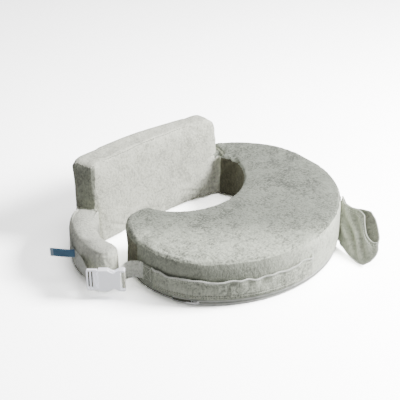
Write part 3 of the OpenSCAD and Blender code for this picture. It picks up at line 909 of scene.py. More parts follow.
    # the seam shows as short stitches along the upper front edge, painted dark for the shade of the seam
    sk = Skin(o)
    line = []
    for p in along(top_front[12:40] + [0, -1.5, 1.5], 1.6):
        q, n = sk.nearest(p)
        line.append(q + n * 0.05)
    line = np.array(line)
    parts = []
    for k in range(2, len(line) - 4, 4):
        parts.append(tube("t", line[k:k + 4], 0.55, 6))
    V2, F2 = merge(parts)
    th = new_object("backrest_seam_stitches_shade", V2, F2)
    paint(th, SEAM)
    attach(th, "backrest")
    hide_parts("backrest_foam", "backrest_front_panel", "backrest_back_panel", "backrest_boxing")
    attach(o, "backrest")
    return o


# ---------------------------------------------------------------- side arm, one cover from the backrest to its gathered end
ac, ra, arm_t, arm_h = np.array([-154.0, 55.0]), 126.0, 54.0, 90.0
arm_x, arm_y0, root_a = ac[0] - ra, 25.0, 118.5


def make_arm():
    d = 2.6
    h = arm_t / 2 - d
    lap = 2.2
    plan = np.concatenate([arc(ac, ra + h, root_a - lap, 180, 3), arc(np.array([arm_x, arm_y0]), h, 180, 360, 10),
                           arc(ac, ra - h, 180, root_a - lap, 3)])
    o = prism("arm_cover_soft", plan, d - 0.6, arm_h - d)
    remesh(o, 4.0)
    P, E = co(o), edges(o)
    P = relax(P, E, 13, 0.5)
    set_co(o, P)
    w = P[:, :2] - ac
    ang = np.degrees(np.arctan2(w[:, 1], w[:, 0]))
    hold = smoothstep(root_a + 3.5, root_a, np.where(P[:, 1] > 55, ang, 180)) * 0.9
    puff(o, 5.8, 4.5, 20, pinned=hold, stiff=8, grow=0.03)
    P, E = co(o), edges(o)
    P = relax(P, E, 1, 0.4)
    set_co(o, P)
    subdivide(o, 1)
    P, N = co(o), normals(o)
    P[:, 2] = np.where(P[:, 2] < 7, 1.2 + (P[:, 2] - 1.2) * smoothstep(-4, 7, P[:, 2]), P[:, 2])
    P[:, 2] = np.maximum(P[:, 2], 0.5)
    side = np.clip(1 - np.abs(N[:, 2]) * 1.1, 0, 1)
    w = P[:, :2] - ac
    ang = np.where(P[:, 1] > 55, np.degrees(np.arctan2(w[:, 1], w[:, 0])), 180 + (55 - P[:, 1]) / 2.2)
    # upright folds on the outer side above the strap, and tucks gathered into the round end
    outer = (np.linalg.norm(w, axis=1) > ra) | ((P[:, 1] < 55) & (P[:, 0] < arm_x))
    zone = smoothstep(171, 178, ang) * smoothstep(206, 196, ang) * outer * side * smoothstep(20, 60, P[:, 2])
    P += N * (zone * 1.4 * np.sin(np.radians(ang) * 52 + 1.2 * vnoise(P, 26, 61)) * (0.6 + 0.4 * vnoise(P, 22, 62)))[:, None]
    e = P[:, :2] - np.array([arm_x, arm_y0])
    ea = np.degrees(np.arctan2(e[:, 1], e[:, 0]))
    tip = smoothstep(arm_y0 + 6, arm_y0 - 10, P[:, 1])
    high = smoothstep(46, 74, P[:, 2])
    P += N * (tip * high * 0.8 * (0.4 + 0.9 * vnoise(P, 15, 68)) * np.sin(np.radians(ea) * 13 + 2.6 * vnoise(P, 20, 63)))[:, None]
    # one pucker on the end's upper rim
    pk = np.array([arm_x + 9, arm_y0 - 18.0, 82.0])
    dd = np.linalg.norm(P - pk, axis=1)
    P -= N * (4.6 * np.exp(-(dd / 6.5) ** 2))[:, None]
    # the end's underside tucks in
    low = smoothstep(40, 8, P[:, 2]) * tip
    P[:, 1] += low * 4.0
    # the top swells up to the seam with the backrest
    top = smoothstep(0.6, 0.92, N[:, 2])
    P[:, 2] += top * (1.0 * fbm(P, 40, 64, 2) + -6.0 * smoothstep(152, 122, ang))
    P += N * (side * 0.8 * fbm(P, (34, 34, 30), 65))[:, None]
    P[:, 2] = np.maximum(P[:, 2], 0.5)
    set_co(o, P)
    h = arm_t / 2 - 2.5
    for rad_, zz, dp in ((ra + h, arm_h - 4.5, 0.5), (ra - h, arm_h - 4.5, 0.7)):
        line = level(arc(ac, rad_, root_a + 2, 180, 2), zz)
        sgn = -1 if rad_ > ra else 1
        line = np.concatenate([line, [[arm_x + sgn * h, y, zz] for y in np.linspace(54, arm_y0, 10)]])
        crease(o, line, dp, 2.6, 0.1, wander=0.6, seed=71)
    crease(o, np.array([[arm_x + h * math.cos(rad(t)), arm_y0 + h * math.sin(rad(t)) + 0.5, arm_h - 5] for t in range(180, 361, 5)]), 1.0, 2.4, 0.15, wander=0.7, seed=72)

    # Painted light: the sides of the arm's tip take the lit plush.
    def panel(c, n):
        tipf = (c[:, 1] < arm_y0 - 6) & (n[:, 2] < 0.5)
        return np.where(tipf, 1, 0)
    paint(o, ARM, PLUSH_LIT)
    paint_faces(o, panel)
    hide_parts("arm_foam", "arm_cover", "arm_end_panel")
    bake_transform(o)
    return o


# ---------------------------------------------------------------- soft neck that fills the joint of crescent and backrest
def make_neck():
    def bez(a, b, c, n):
        t = np.linspace(0, 1, n)[:, None]
        return (1 - t) ** 2 * np.array(a, float) + 2 * t * (1 - t) * np.array(b, float) + t ** 2 * np.array(c, float)

    def rounded(a, b, c, R):
        a, b, c = (np.array(q, float) for q in (a, b, c))
        u, v = (a - b) / np.linalg.norm(a - b), (c - b) / np.linalg.norm(c - b)
        lines = [a + (b + u * R - a) * t for t in np.linspace(0, 1, 6)[:-1]]
        lines += list(bez(b + u * R, b, b + v * R, 12))
        lines += [b + v * R + (c - b - v * R) * t for t in np.linspace(0, 1, 6)[1:]]
        return np.array(lines)

    def plan(z):
        ff = lambda x: face_front(x, z)
        k = float(smoothstep(12, 72, z))
        a = (74 + 12 * k, ff(74 + 12 * k) - 1.6)
        b = (115 + 14 * k, 137.4 + 2.4 * k)
        front = rounded(a, b, (120.5 + 1.5 * k, 110 + 6 * k), 12 - 6 * k)
        inner = [(127, 112), (142, 130), (146, 150)]
        outer = bez((147, 163.0), (132.5, 178), (108, 200.2), 22)
        lead = [(100, 190), (88, 170), (66 + 12 * k, ff(80) + 12)]
        return np.concatenate([front, inner, outer, lead])
    zs = np.concatenate([[1.0, 3.0], np.linspace(8, 88, 17), [92.0, 94.6, 96.4]])
    rings = []
    for z in zs:
        p = plan(min(z, 90))
        inset = max(0.0, (z - 90) / 6.4) ** 2 * 4.0 + (1.2 if z < 2 else 0)
        m = p.mean(0)
        q = p - m
        p = m + q * (1 - inset / np.maximum(np.linalg.norm(q, axis=1), 1)[:, None])
        rings.append(np.column_stack([p, np.full(len(p), z)]))
    n = len(rings[0])
    V = np.concatenate(rings)
    F = []
    for i in range(len(rings) - 1):
        for k in range(n):
            l = (k + 1) % n
            F.append((i * n + k, i * n + l, (i + 1) * n + l, (i + 1) * n + k))
    F += [tuple(range(n - 1, -1, -1)), tuple((len(rings) - 1) * n + k for k in range(n))]
    o = new_object("neck_sleeve", V, F)
    fix_normals(o)
    remesh(o, 3.6)
    P, E = co(o), edges(o)
    P = relax(P, E, 3, 0.5)
    set_co(o, P)
    subdivide(o, 1)
    P, N = co(o), normals(o)
    P += N * (0.4 * fbm(P, (14, 14, 34), 81, 2))[:, None]
    dip = np.exp(-(np.hypot(P[:, 0] - 126, P[:, 1] - 135) / 13.0) ** 2)
    P[:, 2] -= 7.0 * dip * smoothstep(70, 96, P[:, 2])
    P[:, 2] = np.maximum(P[:, 2], 0.6)
    set_co(o, P)
    # painted shade: the neck's colour runs from the lit backrest plush into painted shade by the inner wall
    k = smoothstep(12, 72, P[:, 2])
    run = (P[:, 0] - P[:, 1]) * 0.7071
    edge = -12.0 + 6.0 * k
    wide = 16.0 - 12.5 * k
    neck_shade = smoothstep(0, 1, (run - edge) / wide + 0.5)
    at_ = o.data.attributes.new("neck_shade", "FLOAT", "POINT")
    at_.data.foreach_set("value", neck_shade.astype(np.float32))

    def panel(c, n):
        return np.where((n[:, 2] > 0.62) | ((c[:, 2] > 80) & (c[:, 1] > 143) & (c[:, 0] > 112)), 1, np.where(c[:, 1] > 158, 2, 0))
    paint(o, NECK, TOP, WALL)
    paint_faces(o, panel)
    painted_shading_of(o)
    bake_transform(o)
    return o


# ---------------------------------------------------------------- front pocket, lying on the wall
def wall_at(skin, a, z, fallback=0.0):
    """Distance the cushion's wall stands out from the plan at angle a and height z."""
    p = band_point(a, 30)
    c = c2 if a < 225 else c1
    d = np.array([c[0] - p[0], c[1] - p[1], 0.0])
    q, _ = skin.cast([p[0], p[1], z], d, 50)
    if q is None:
        return fallback
    return float(np.linalg.norm(q[:2] - c) - (r2 if a < 225 else r1))


def pocket_angles():
    """Angles of the pocket band, about 3 mm apart, and their running length."""
    a = np.concatenate([np.arange(187.6, 225, 1.05), np.arange(225, 274.7, 0.66)])
    s, out = 0.0, []
    for i, v in enumerate(a):
        if i:
            s += rad(v - a[i - 1]) * (r2 if v < 225.5 else r1)
        out.append(s)
    return a, np.array(out)


def pocket_rim(s):
    """Height of the pocket's gathered upper edge along its length."""
    q = np.stack([s, np.zeros_like(s), np.zeros_like(s)], 1)
    sag = 2.2 * np.sin(math.pi * np.clip(s / s[-1], 0, 1))
    return 60.6 - sag + 1.5 * np.sin(s / 11.5 + 1.2 * vnoise(q, 40, 91)) + 1.1 * vnoise(q, 17, 92)


def make_pocket(crescent):
    skin = Skin(crescent)
    a, s = pocket_angles()
    rim = pocket_rim(s)
    nz = 37
    P = np.empty((len(a), nz, 3))
    N = np.empty_like(P)
    for i, ang in enumerate(a):
        u = np.array([math.cos(rad(ang)), math.sin(rad(ang))])
        end = min(1.0, s[i] / 10.0) * min(1.0, (s[-1] - s[i]) / 5.0)
        for j in range(nz):
            t = j / (nz - 1)
            z = 17.5 + (rim[i] - 17.5) * t
            w = wall_at(skin, ang, min(z, 88))
            bag = (2.6 * math.sin(math.pi * min(1, t * 1.05)) ** 0.8 + 2.6 * float(smoothstep(0.62, 1.0, t))) * end
            pucker = (1.5 * float(smoothstep(0.45, 1.0, t)) * math.sin(s[i] / 6.2 + 1.7 * math.sin(s[i] / 31.0))
                      + 0.8 * float(smoothstep(0.3, 0.0, t)) * math.sin(s[i] / 4.1 + math.sin(s[i] / 23.0))) * end
            g = w + 1.5 + bag + pucker
            c = c2 if ang < 225 else c1
            r = (r2 if ang < 225 else r1) + g
            P[i, j] = [c[0] + r * u[0], c[1] + r * u[1], z]
            N[i, j] = [u[0], u[1], 0]
    flat = P.reshape(-1, 3)
    slack = 1.6 * fbm(flat, (26, 26, 17), 93) + 1.0 * fbm(flat, (10, 10, 22), 94, 2) + 0.9 * fbm(flat, (60, 60, 7), 96, 2)
    edge = np.minimum(smoothstep(0, 0.12, np.linspace(0, 1, nz)), 1)
    slack = slack.reshape(len(a), nz) * edge[None, :] * np.minimum(1, np.minimum(s, s[-1] - s) / 8)[:, None]
    P += N * slack[..., None]
    # two sewn rows along the foot press the cloth to the wall
    zz = P[..., 2]
    for z0 in (22.4, 27.2):
        P -= N * (1.9 * np.exp(-((zz - z0) / 1.25) ** 2))[..., None]
    P += N * (1.1 * np.exp(-((zz - 24.8) / 1.3) ** 2))[..., None]
    P -= N * (1.0 * np.exp(-((rim[:, None] - zz - 6.0) / 1.3) ** 2))[..., None]
    o = sheet("pocket_panel", P, N, 1.6)
    subdivide(o, 1)
    # Painted light: the pocket takes the lit pocket plush, painted lighter round to the right, and its sewn rows the
    # shade plush.
    paint(o, POCKET, DARK)
    painted_shading_of(o)
    # the sewn lines hold shade

    def grooves(c, n):
        t = np.degrees(np.arctan2(c[:, 1] - c1[1], c[:, 0] - c1[0])) % 360
        row = (np.abs(c[:, 2] - 22.4) < 0.75) | (np.abs(c[:, 2] - 27.2) < 0.5)
        end = (np.abs(t - (a[-1] - 0.55)) < 0.16) & (c[:, 2] < 58)
        outward = (c[:, 0] - c1[0]) * n[:, 0] + (c[:, 1] - c1[1]) * n[:, 1] > 0
        return np.where((row | end) & outward, 1, 0)
    paint_faces(o, grooves)
    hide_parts("front_pocket")
    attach(o, "crescent")

    # gathered upper edge: a soft rolled binding, oversewn
    top = P[:, -1, :] + np.stack([N[:, -1, 0] * 0.4, N[:, -1, 1] * 0.4, np.full(len(a), 0.3)], 1)
    C = along(top, 1.2)
    run = np.arange(len(C)) * 1.2
    R = 1.85 + 0.42 * np.sin(run * 2 * math.pi / 3.6) + 0.25 * vnoise(np.stack([run, run * 0, run * 0], 1), 7, 95)
    V, F = tube("binding", C, 1.4, 10, radii=R)
    b = new_object("pocket_binding_roll", V, F)
    paint(b, BIND)
    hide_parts("pocket_binding")
    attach(b, "crescent")

    # stitches: one short length of thread each
    psk = Skin(o)
    parts = []
    for z0 in (22.4, 27.2):
        line = []
        for i, ang in enumerate(a):
            w = P[i, int(round((z0 - 17.5) / (rim[i] - 17.5) * (nz - 1)))]
            line.append([w[0], w[1], z0])
        line = along(line, 1.0)
        k = 4
        while k + 4 < len(line):
            seg = []
            for t in range(4):
                p = line[k + t]
                q, n = psk.nearest(p + 0)
                u = p[:2] - (c2 if p[0] < j2[0] else c1)
                u = np.array([*(u / np.linalg.norm(u)), 0])
                h, hn = psk.cast(p + u * 12, -u, 30)
                q = h if h is not None else q
                seg.append(q + u * (0.28 if 0 < t < 3 else -0.15))
            parts.append(tube("t", seg, 0.34, 6))
            k += 5
    # the band's sewn right-hand end, two upright rows
    for off in (0.55, 1.45):
        ang = a[-1] - off
        u = np.array([math.cos(rad(ang)), math.sin(rad(ang)), 0])
        z = 24.0
        while z < 56:
            seg = []
            for t in range(4):
                p = np.array([*(c1 + (r1 + 14) * u[:2]), z + t])
                h, hn = psk.cast(p, -u, 30)
                if h is None:
                    break
                seg.append(h + u * (0.3 if 0 < t < 3 else -0.1))
            if len(seg) == 4:
                parts.append(tube("t", seg, 0.36, 6))
            z += 4.6
    V, F = merge(parts)
    t = new_object("pocket_stitches", V, F)
    paint(t, THREAD)
    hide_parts("pocket_stitching")
    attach(t, "crescent")
    return o


# ---------------------------------------------------------------- zip
def make_zip():
    zz, zr = 8.0, r1 - 1.0

    def teeth(name, sgn, spans):
        parts = []
        for c, r, a0, a1, gap, lean in spans:
            n = int(rad(a1 - a0) * r / 1.9)
            for i in range(n + 1):
                a = a0 + (a1 - a0) * i / n + (0.5 * (a1 - a0) / n if sgn > 0 else 0)
                u, v = np.array([math.cos(rad(a)), math.sin(rad(a)), 0]), np.array([-math.sin(rad(a)), math.cos(rad(a)), 0])
                m = np.array([c[0], c[1], zz]) + u * r
                z0, z1 = sgn * gap, sgn * (gap + 1.9)
                seg = [m + u * 0.15 + [0, 0, z1], m + u * 0.75 + [0, 0, z0 + sgn * 0.5], m + u * 0.55 + [0, 0, z0], m - u * 0.3 + v * 0.35 + [0, 0, z0 + sgn * 0.3],
                       m - u * 0.45 + v * 0.5 + [0, 0, z1]]
                parts.append(tube("t", seg, 0.42, 5))
            # the coil's cord
            cord = [np.array([c[0] + r * math.cos(rad(a)), c[1] + r * math.sin(rad(a)), zz + sgn * (gap + 1.6)]) for a in np.arange(a0, a1, 0.8)]
            parts.append(tube("t", cord, 0.5, 6))
        V, F = merge(parts)
        o = new_object(name, V, F)
        paint(o, COIL)
        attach(o, "crescent")
        return o
    closed = (c1, zr, 219.9, 311.4, 0.75, 0)
    opened = (c2, r2 - 1.4, 203.2, 217.2, 2.6, 1)
    up = teeth("zip_teeth_upper", 1, [closed, opened])
    dn = teeth("zip_teeth_lower", -1, [closed, opened])
    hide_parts("zip_coil_upper")
    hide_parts("zip_coil_lower")
    # lining seen between the teeth and through the open length, painted dark for the shade inside the cover
    rows = []
    for a in np.concatenate([np.arange(202.6, 225, 1.2), np.arange(225, 312.5, 0.8)]):
        c, r = (c2, r2 - 4.4) if a < 225 else (c1, r1 - 4.4)
        rows.append([[c[0] + r * math.cos(rad(a)), c[1] + r * math.sin(rad(a)), z] for z in np.linspace(2.2, 13.4, 7)])
    G = np.array(rows)
    du, dv = np.gradient(G, axis=0), np.gradient(G, axis=1)
    nrm = np.cross(du, dv)
    nrm /= np.linalg.norm(nrm, axis=2)[..., None]
    G += nrm * (0.2 * vnoise(G.reshape(-1, 3), 7, 101)).reshape(G.shape[:2])[..., None]
    o = sheet("zip_lining", G, nrm, 0.7)
    paint(o, INSIDE_SHADE, WALL)
    paint_faces(o, lambda c, n: np.where((np.degrees(np.arctan2(c[:, 1] - c1[1], c[:, 0] - c1[0])) % 360) > 222.0, 1, 0))
    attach(o, "crescent")
    for n, m in (("zip_tape_upper", TAPE), ("zip_tape_lower", TAPE), ("zip_end_stops", METAL), ("zip_slider", METAL), ("zip_pull", METAL)):
        paint(nodes[n], m)


# ---------------------------------------------------------------- straps
def ribbon(name, path, z0, z1, t, crown, wrinkle, seed, skip=1.0, roll=1.2):
    """A soft flat strap: middle line in plan, from height z0 to z1, thicker in the middle and rolled at its edges."""
    C = along(np.asarray(path, float), 2.0)
    T = np.gradient(C, axis=0)
    T /= np.linalg.norm(T, axis=1)[:, None]
    M = np.stack([-T[:, 1], T[:, 0]], 1)
    nz = 17
    G = np.empty((len(C), nz, 3))
    N = np.zeros_like(G)
    th = np.empty((len(C), nz))
    for j in range(nz):
        v = j / (nz - 1)
        e = math.sin(math.pi * min(1, max(0, v))) ** 0.5
        G[:, j, :2] = C
        G[:, j, 2] = z0 + (z1 - z0) * v
        N[:, j, :2] = M
        ridge = math.exp(-((min(v, 1 - v) - 0.06) / 0.05) ** 2) * roll * 0.5
        seam = math.exp(-((min(v, 1 - v) - 0.15) / 0.03) ** 2)
        th[:, j] = max(0.5, t * (0.35 + 0.65 * e) + crown * math.sin(math.pi * v) + ridge - 0.5 * seam * roll)
    s = np.arange(len(C)) * 2.0
    flat = np.stack([np.repeat(s, nz), np.tile(np.linspace(z0, z1, nz), len(C)), np.zeros(len(C) * nz)], 1)
    w = (fbm(flat, (13, 24, 1), seed, 2) * wrinkle).reshape(len(C), nz)
    G += N * w[..., None]
    G[..., 2] += (0.35 * wrinkle * vnoise(flat, (19, 500, 1), seed + 5)).reshape(len(C), nz)
    o = sheet(name, G, N, th)
    subdivide(o, 1)
    return o, C, M


bc, bt = np.array([-306.0, -10.0]), rad(-42)
bx, by = np.array([math.cos(bt), math.sin(bt)]), np.array([-math.sin(bt), math.cos(bt)])


def fb(x, y):
    return bc + x * bx + y * by


def make_straps(crescent, arm):
    bar = bc + 33 * bx
    skin, askin = Skin(crescent), Skin(arm)
    # short strap: doubled back round the socket's bar, then a soft bow, then flat on the horn's wall
    loop = [bar + 3.3 * np.array([math.cos(t), math.sin(t)]) for t in np.radians(np.linspace(-215, 20, 12))]
    path = [bar + np.array(p) for p in ((1.2, 3.4), (2.6, 7.0), (5.2, 12.0), (9.5, 17.0), (15.5, 19.3), (23.5, 19.4), (31.5, 16.6), (38.3, 12.0), (43.4, 6.6))]
    tail = []
    for a in np.arange(178.4, 190.5, 1.0):
        w = wall_at(skin, a, 44)
        tail.append(c2 + (r2 + max(w, -1) + 1.7) * np.array([math.cos(rad(a)), math.sin(rad(a))]))
    o, C, M = ribbon("socket_strap_soft", np.array(path + tail), 24.4, 63.4, 2.1, 1.9, 1.1, 111, roll=2.2)
    paint(o, STRAP, WALL)
    paint_faces(o, lambda c, n: np.where((np.degrees(np.arctan2(c[:, 1] - c2[1], c[:, 0] - c2[0])) % 360 > 180.2), 1, 0))
    # the turn round the bar
    ring, _, _ = ribbon("socket_strap_turn", np.array(loop), 25.6, 62.4, 1.5, 0.3, 0.1, 112)
    # Painted light: the turn round the bar takes the lit plush.
    paint(ring, PLUSH_LIT)
    for k in (o, ring):
        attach(k, "crescent")
    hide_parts("socket_strap")
    # boxed cross
    ssk = Skin(o)
    parts = []

    def on_strap(s_, z):
        a = 183.3 + math.degrees(s_ / (r2 + 3))
        u = np.array([math.cos(rad(a)), math.sin(rad(a)), 0])
        h, _ = ssk.cast(np.array([*(c2 + (r2 + 16) * u[:2]), z]), -u, 40)
        return None if h is None else h + u * 0.3
    W, H = 11.5, 14.5
    lines = [[(-W, 44 - H), (W, 44 - H)], [(W, 44 - H), (W, 44 + H)], [(W, 44 + H), (-W, 44 + H)], [(-W, 44 + H), (-W, 44 - H)],
             [(-W, 44 - H), (W, 44 + H)], [(-W, 44 + H), (W, 44 - H)]]
    for (sa, za), (sb, zb) in lines:
        L = math.hypot(sb - sa, zb - za)
        n = int(L / 3.2)
        for i in range(n):
            seg = []
            for f in (0.08, 0.35, 0.62, 0.86):
                t = (i + f) / n
                p = on_strap(sa + (sb - sa) * t, za + (zb - za) * t)
                if p is None:
                    break
                seg.append(p)
            if len(seg) == 4:
                parts.append(tube("t", seg, 0.36, 6))
    V, F = merge(parts)
    t = new_object("socket_strap_cross", V, F)
    paint(t, THREAD)
    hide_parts("socket_strap_stitching")
    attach(t, "crescent")

    # arm strap: in and out of the plug's ladder, then up along the arm
    x0 = -36.5
    sl1, sl2 = x0 + 4.5, x0 + 10.1
    inner = [fb(*p) for p in ((sl2 + 6.0, 5.6), (sl2 + 2.2, 4.6), (sl2, 2.9), (sl2 - 1.4, 4.1), ((sl1 + sl2) / 2, 4.6), (sl1 + 1.4, 4.1), (sl1, 2.9), (sl1 - 2.0, 4.4))]
    lead = [np.array(p) for p in ((-326.5, 20.0), (-323.4, 29.0), (-319.2, 39.0), (-314.6, 49.0))]
    tail = []
    for a in np.arange(174, 157.5, -1.0):
        u = np.array([math.cos(rad(a)), math.sin(rad(a)), 0])
        h, _ = askin.cast(np.array([*(ac + (ra + 50) * u[:2]), 44]), -u, 60)
        r = ra + arm_t / 2 if h is None else float(np.linalg.norm(h[:2] - ac))
        tail.append(ac + (r + 1.5) * u[:2])
    o2, C2, M2 = ribbon("arm_strap_soft", np.array(inner + lead + tail), 25.2, 62.8, 1.25, 0.35, 0.25, 121, roll=0.5)
    # Painted shade: where the strap runs behind the plug's slots it takes the deep shade plush.
    paint(o2, STRAP, DEEP_SHADE)
    paint_faces(o2, lambda c, n: np.where((np.abs((c[:, :2] - bc) @ bx - (sl1 + sl2) / 2) < 5.6) & ((c[:, :2] - bc) @ by < 9), 1, 0))
    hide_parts("arm_strap")
    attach(o2, "arm")
    # the strap's loose end, behind the plug
    back = [fb(*p) for p in ((sl1 + 1, 5.8), (sl2 + 1, 7.4), (-14, 9.4), (0, 9.6), (10, 8.4), (15.5, 6.6))]
    o3, _, _ = ribbon("arm_strap_end", np.array(back), 18.5, 56.0, 1.3, 0.6, 0.5, 123, roll=1.2)
    paint(o3, STRAP)
    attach(o3, "arm")
    ask = Skin(o2)
    parts = []
    for a in (159.6, 161.4):
        u = np.array([math.cos(rad(a)), math.sin(rad(a)), 0])
        z = 28.0
        while z < 59:
            seg = []
            for k in range(4):
                h, _ = ask.cast(np.array([*(ac + (ra + 60) * u[:2]), z + k * 0.75]), -u, 60)
                if h is not None:
                    seg.append(h + u * (0.3 if 0 < k < 3 else 0))
            if len(seg) == 4:
                parts.append(tube("t", seg, 0.32, 6))
            z += 3.2
    V, F = merge(parts)
    t2 = new_object("arm_strap_rows", V, F)
    paint(t2, THREAD)
    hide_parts("arm_strap_stitching")
    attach(t2, "arm")
    return o, o2


def make_tag():
    a = 169
    p0 = ac + (ra + 27 + 3.6) * np.array([math.cos(rad(a)), math.sin(rad(a))])
    d = np.array([math.cos(rad(133)), math.sin(rad(133))])
    n = np.array([-d[1], d[0]])
    rows = []
    for s in np.linspace(0, 47.5, 40):
        bend = 2.0 * math.sin(s / 47.5 * math.pi) + 0.5 * math.sin(s / 7.0)
        rows.append([[*(p0 + d * s + n * (bend * (0.7 + 0.3 * v) + 0.5 * v)), 46.4 + 19.2 * (v + 1) / 2 + 1.2 * math.sin(s / 30.0)] for v in np.linspace(-1, 1, 13)])
    G = np.array(rows)
    du, dv = np.gradient(G, axis=0), np.gradient(G, axis=1)
    nrm = np.cross(du, dv)
    nrm /= np.linalg.norm(nrm, axis=2)[..., None]
    layers = []
    for k, t in ((0.42, 0.5), (-0.42, 0.5)):
        layers.append((G + nrm * k, t))
    o = sheet("tag_front", layers[0][0], nrm, 0.5)
    o2 = sheet("tag_back", layers[1][0], nrm, 0.5)
    for k in (o, o2):
        subdivide(k, 1)
        paint(k, LABEL, LABELPALE)
        paint_faces(k, lambda c, n: np.where(((c[:, :2] - p0) @ d > 41.5) | ((c[:, 2] - 46.4 < 2.6)), 1, 0))
        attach(k, "tag")
    # the fold at its free end
    e = G[-1]
    V, F = tube("fold", e, 0.62, 8)
    f = new_object("tag_fold", V, F)
    paint(f, LABELPALE)
    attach(f, "tag")
    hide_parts("label_tag")


# ---------------------------------------------------------------- side pouch
def make_pouch():
    org = np.array([203.12, -141.61, 84.0])
    z_, x_ = rad(-95), rad(60)
    es = np.array([math.cos(z_), math.sin(z_), 0])
    et = np.array([-math.sin(z_) * math.cos(x_), math.cos(z_) * math.cos(x_), math.sin(x_)])
    en = np.cross(es, et)
    top = np.array([[4, -2], [18, -12], [34, -13], [48, -10], [62, -5], [80, -1], [96, -9], [112, -22], [124, -35], [131, -44]], float)
    bot = np.array([[4, -16], [14, -62], [24, -84], [40, -89], [58, -90], [76, -94], [96, -96], [112, -96], [127, -93], [138, -80]], float)
    nu, nv = 61, 41

    def pick(c, u):
        s = np.linspace(0, 1, len(c))
        return np.array([np.interp(u, s, c[:, 0]), np.interp(u, s, c[:, 1])])
    layers = {}
    for side in (1, -1):
        G = np.empty((nu, nv, 3))
        for i in range(nu):
            u = i / (nu - 1)
            a, b = pick(top, u), pick(bot, u)
            for j in range(nv):
                v = j / (nv - 1)
                p = a + (b - a) * v
                p = p + np.array([6.0 * math.sin(math.pi * v) * (u ** 2) + 2.0 * math.sin(math.pi * v) * (1 - u) * 0.5, 0])
                rim = math.sin(math.pi * min(1, u * 1.02)) ** 0.45 * math.cos(math.pi / 2 * v) ** 0.5 if v < 1 else 0
                belly = math.sin(math.pi * u) ** 0.6 * math.sin(math.pi * min(1, 0.12 + 0.88 * v)) ** 0.6
                gape = math.exp(-((u - 0.74) / 0.22) ** 2) * math.exp(-(v / 0.32) ** 2)
                if side > 0:
                    h = 4.5 * belly + 1.0 + 0.5 * gape
                    # the front lip slumps, so the mouth shows its dark inside
                    p = p + np.array([-7.0, -25.0]) * gape
                    # long diagonal folds falling from the seam to the lower corner
                    q = p[0] * 0.62 - (-p[1]) * 0.78
                    h += belly * (3.9 * math.sin(q / 3.5 + 0.9 * math.sin(p[0] / 17.0)) * math.exp(-((q + 2) / 34.0) ** 2)
                                  + 2.1 * math.sin((p[0] * 0.85 + p[1] * 0.5) / 6.5) * math.exp(-((p[0] - 60) / 34) ** 2 - ((p[1] + 62) / 24) ** 2))
                else:
                    h = -(4.0 * belly + 1.0) - 3.0 * gape
                G[i, j] = org + es * p[0] + et * p[1] + en * h
                G[i, j, 0] -= 9.0 * v * v * float(smoothstep(0.36, 0.8, u))
        flat = G.reshape(-1, 3)
        G += (en * (1.3 * fbm(flat, 15, 131 + side, 3))[:, None]).reshape(G.shape) * np.minimum(1, np.minimum(np.arange(nu), nu - 1 - np.arange(nu)) / 5)[:, None, None]
        G[..., 2] = np.maximum(G[..., 2], 1.2)
        layers[side] = G
    # both layers meet along the foot and the two ends
    for G in (layers,):
        mid = (layers[1] + layers[-1]) / 2
        for sd in (1, -1):
            g = layers[sd]
            for k, w in ((-1, 1.0), (-2, 0.55), (-3, 0.22)):
                g[:, k] = g[:, k] * (1 - w) + (mid[:, k] + en * 0.75 * sd) * w
                g[k, :] = g[k, :] * (1 - w) + (mid[k, :] + en * 0.75 * sd) * w
            for k, w in ((0, 1.0), (1, 0.55), (2, 0.22)):
                g[k, :] = g[k, :] * (1 - w) + (mid[k, :] + en * 0.75 * sd) * w
    # the foot rides up by the wall, clear of the zip slider's run
    for g in layers.values():
        r = np.hypot(g[..., 0], g[..., 1] - 33.0)
        g[..., 2] = np.maximum(g[..., 2], 1.2 + 13.2 * smoothstep(273.0, 266.0, r))
    objs = []
    for sd, nm in ((1, "pouch_front"), (-1, "pouch_rear")):
        G = layers[sd]
        du, dv = np.gradient(G, axis=0), np.gradient(G, axis=1)
        nrm = np.cross(du, dv)
        nrm /= np.maximum(np.linalg.norm(nrm, axis=2), 1e-9)[..., None]
        if (nrm.reshape(-1, 3) @ (en * sd)).mean() < 0:
            nrm = -nrm
        o = sheet(nm, G, nrm, 1.3)
        subdivide(o, 1)
        # Painted shade: the pouch is darkened in the valleys of its folds, and its faces turned into the pouch take the
        # mouth shade plush.
        paint(o, BAG_FOLD_SHADE, MOUTH_SHADE)
        fold_shade_of(o)
        inward = -en * sd
        paint_faces(o, lambda c, n: np.where(n @ inward > 0.35, 1, 0))
        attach(o, "pouch")
        objs.append(o)
    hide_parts("side_pouch")
    # rolled hems on the mouth, and a bound edge round the foot
    parts = []
    for sd in (1, -1):
        C = along(layers[sd][:, 0], 1.5)
        k = np.arange(len(C)) * 1.5
        parts.append(tube("h", C, 1.3, 8, radii=1.55 + 0.25 * np.sin(k * 1.9)))
    V, F = merge(parts)
    h = new_object("pouch_hem_roll", V, F)
    paint(h, HEM)
    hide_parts("pouch_hem")
    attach(h, "pouch")
    mid = (layers[1] + layers[-1]) / 2
    foot = np.concatenate([mid[1:, -1], mid[-1, ::-1][1:-1]])
    C = along(foot, 1.5)
    C[:, 2] = np.maximum(C[:, 2], 2.0)
    k = np.arange(len(C)) * 1.5
    V, F = tube("e", C, 1.5, 8, radii=1.5 + 0.22 * np.sin(k * 2.1))
    e = new_object("pouch_foot_edge", V, F)
    paint(e, BIND)
    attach(e, "pouch")
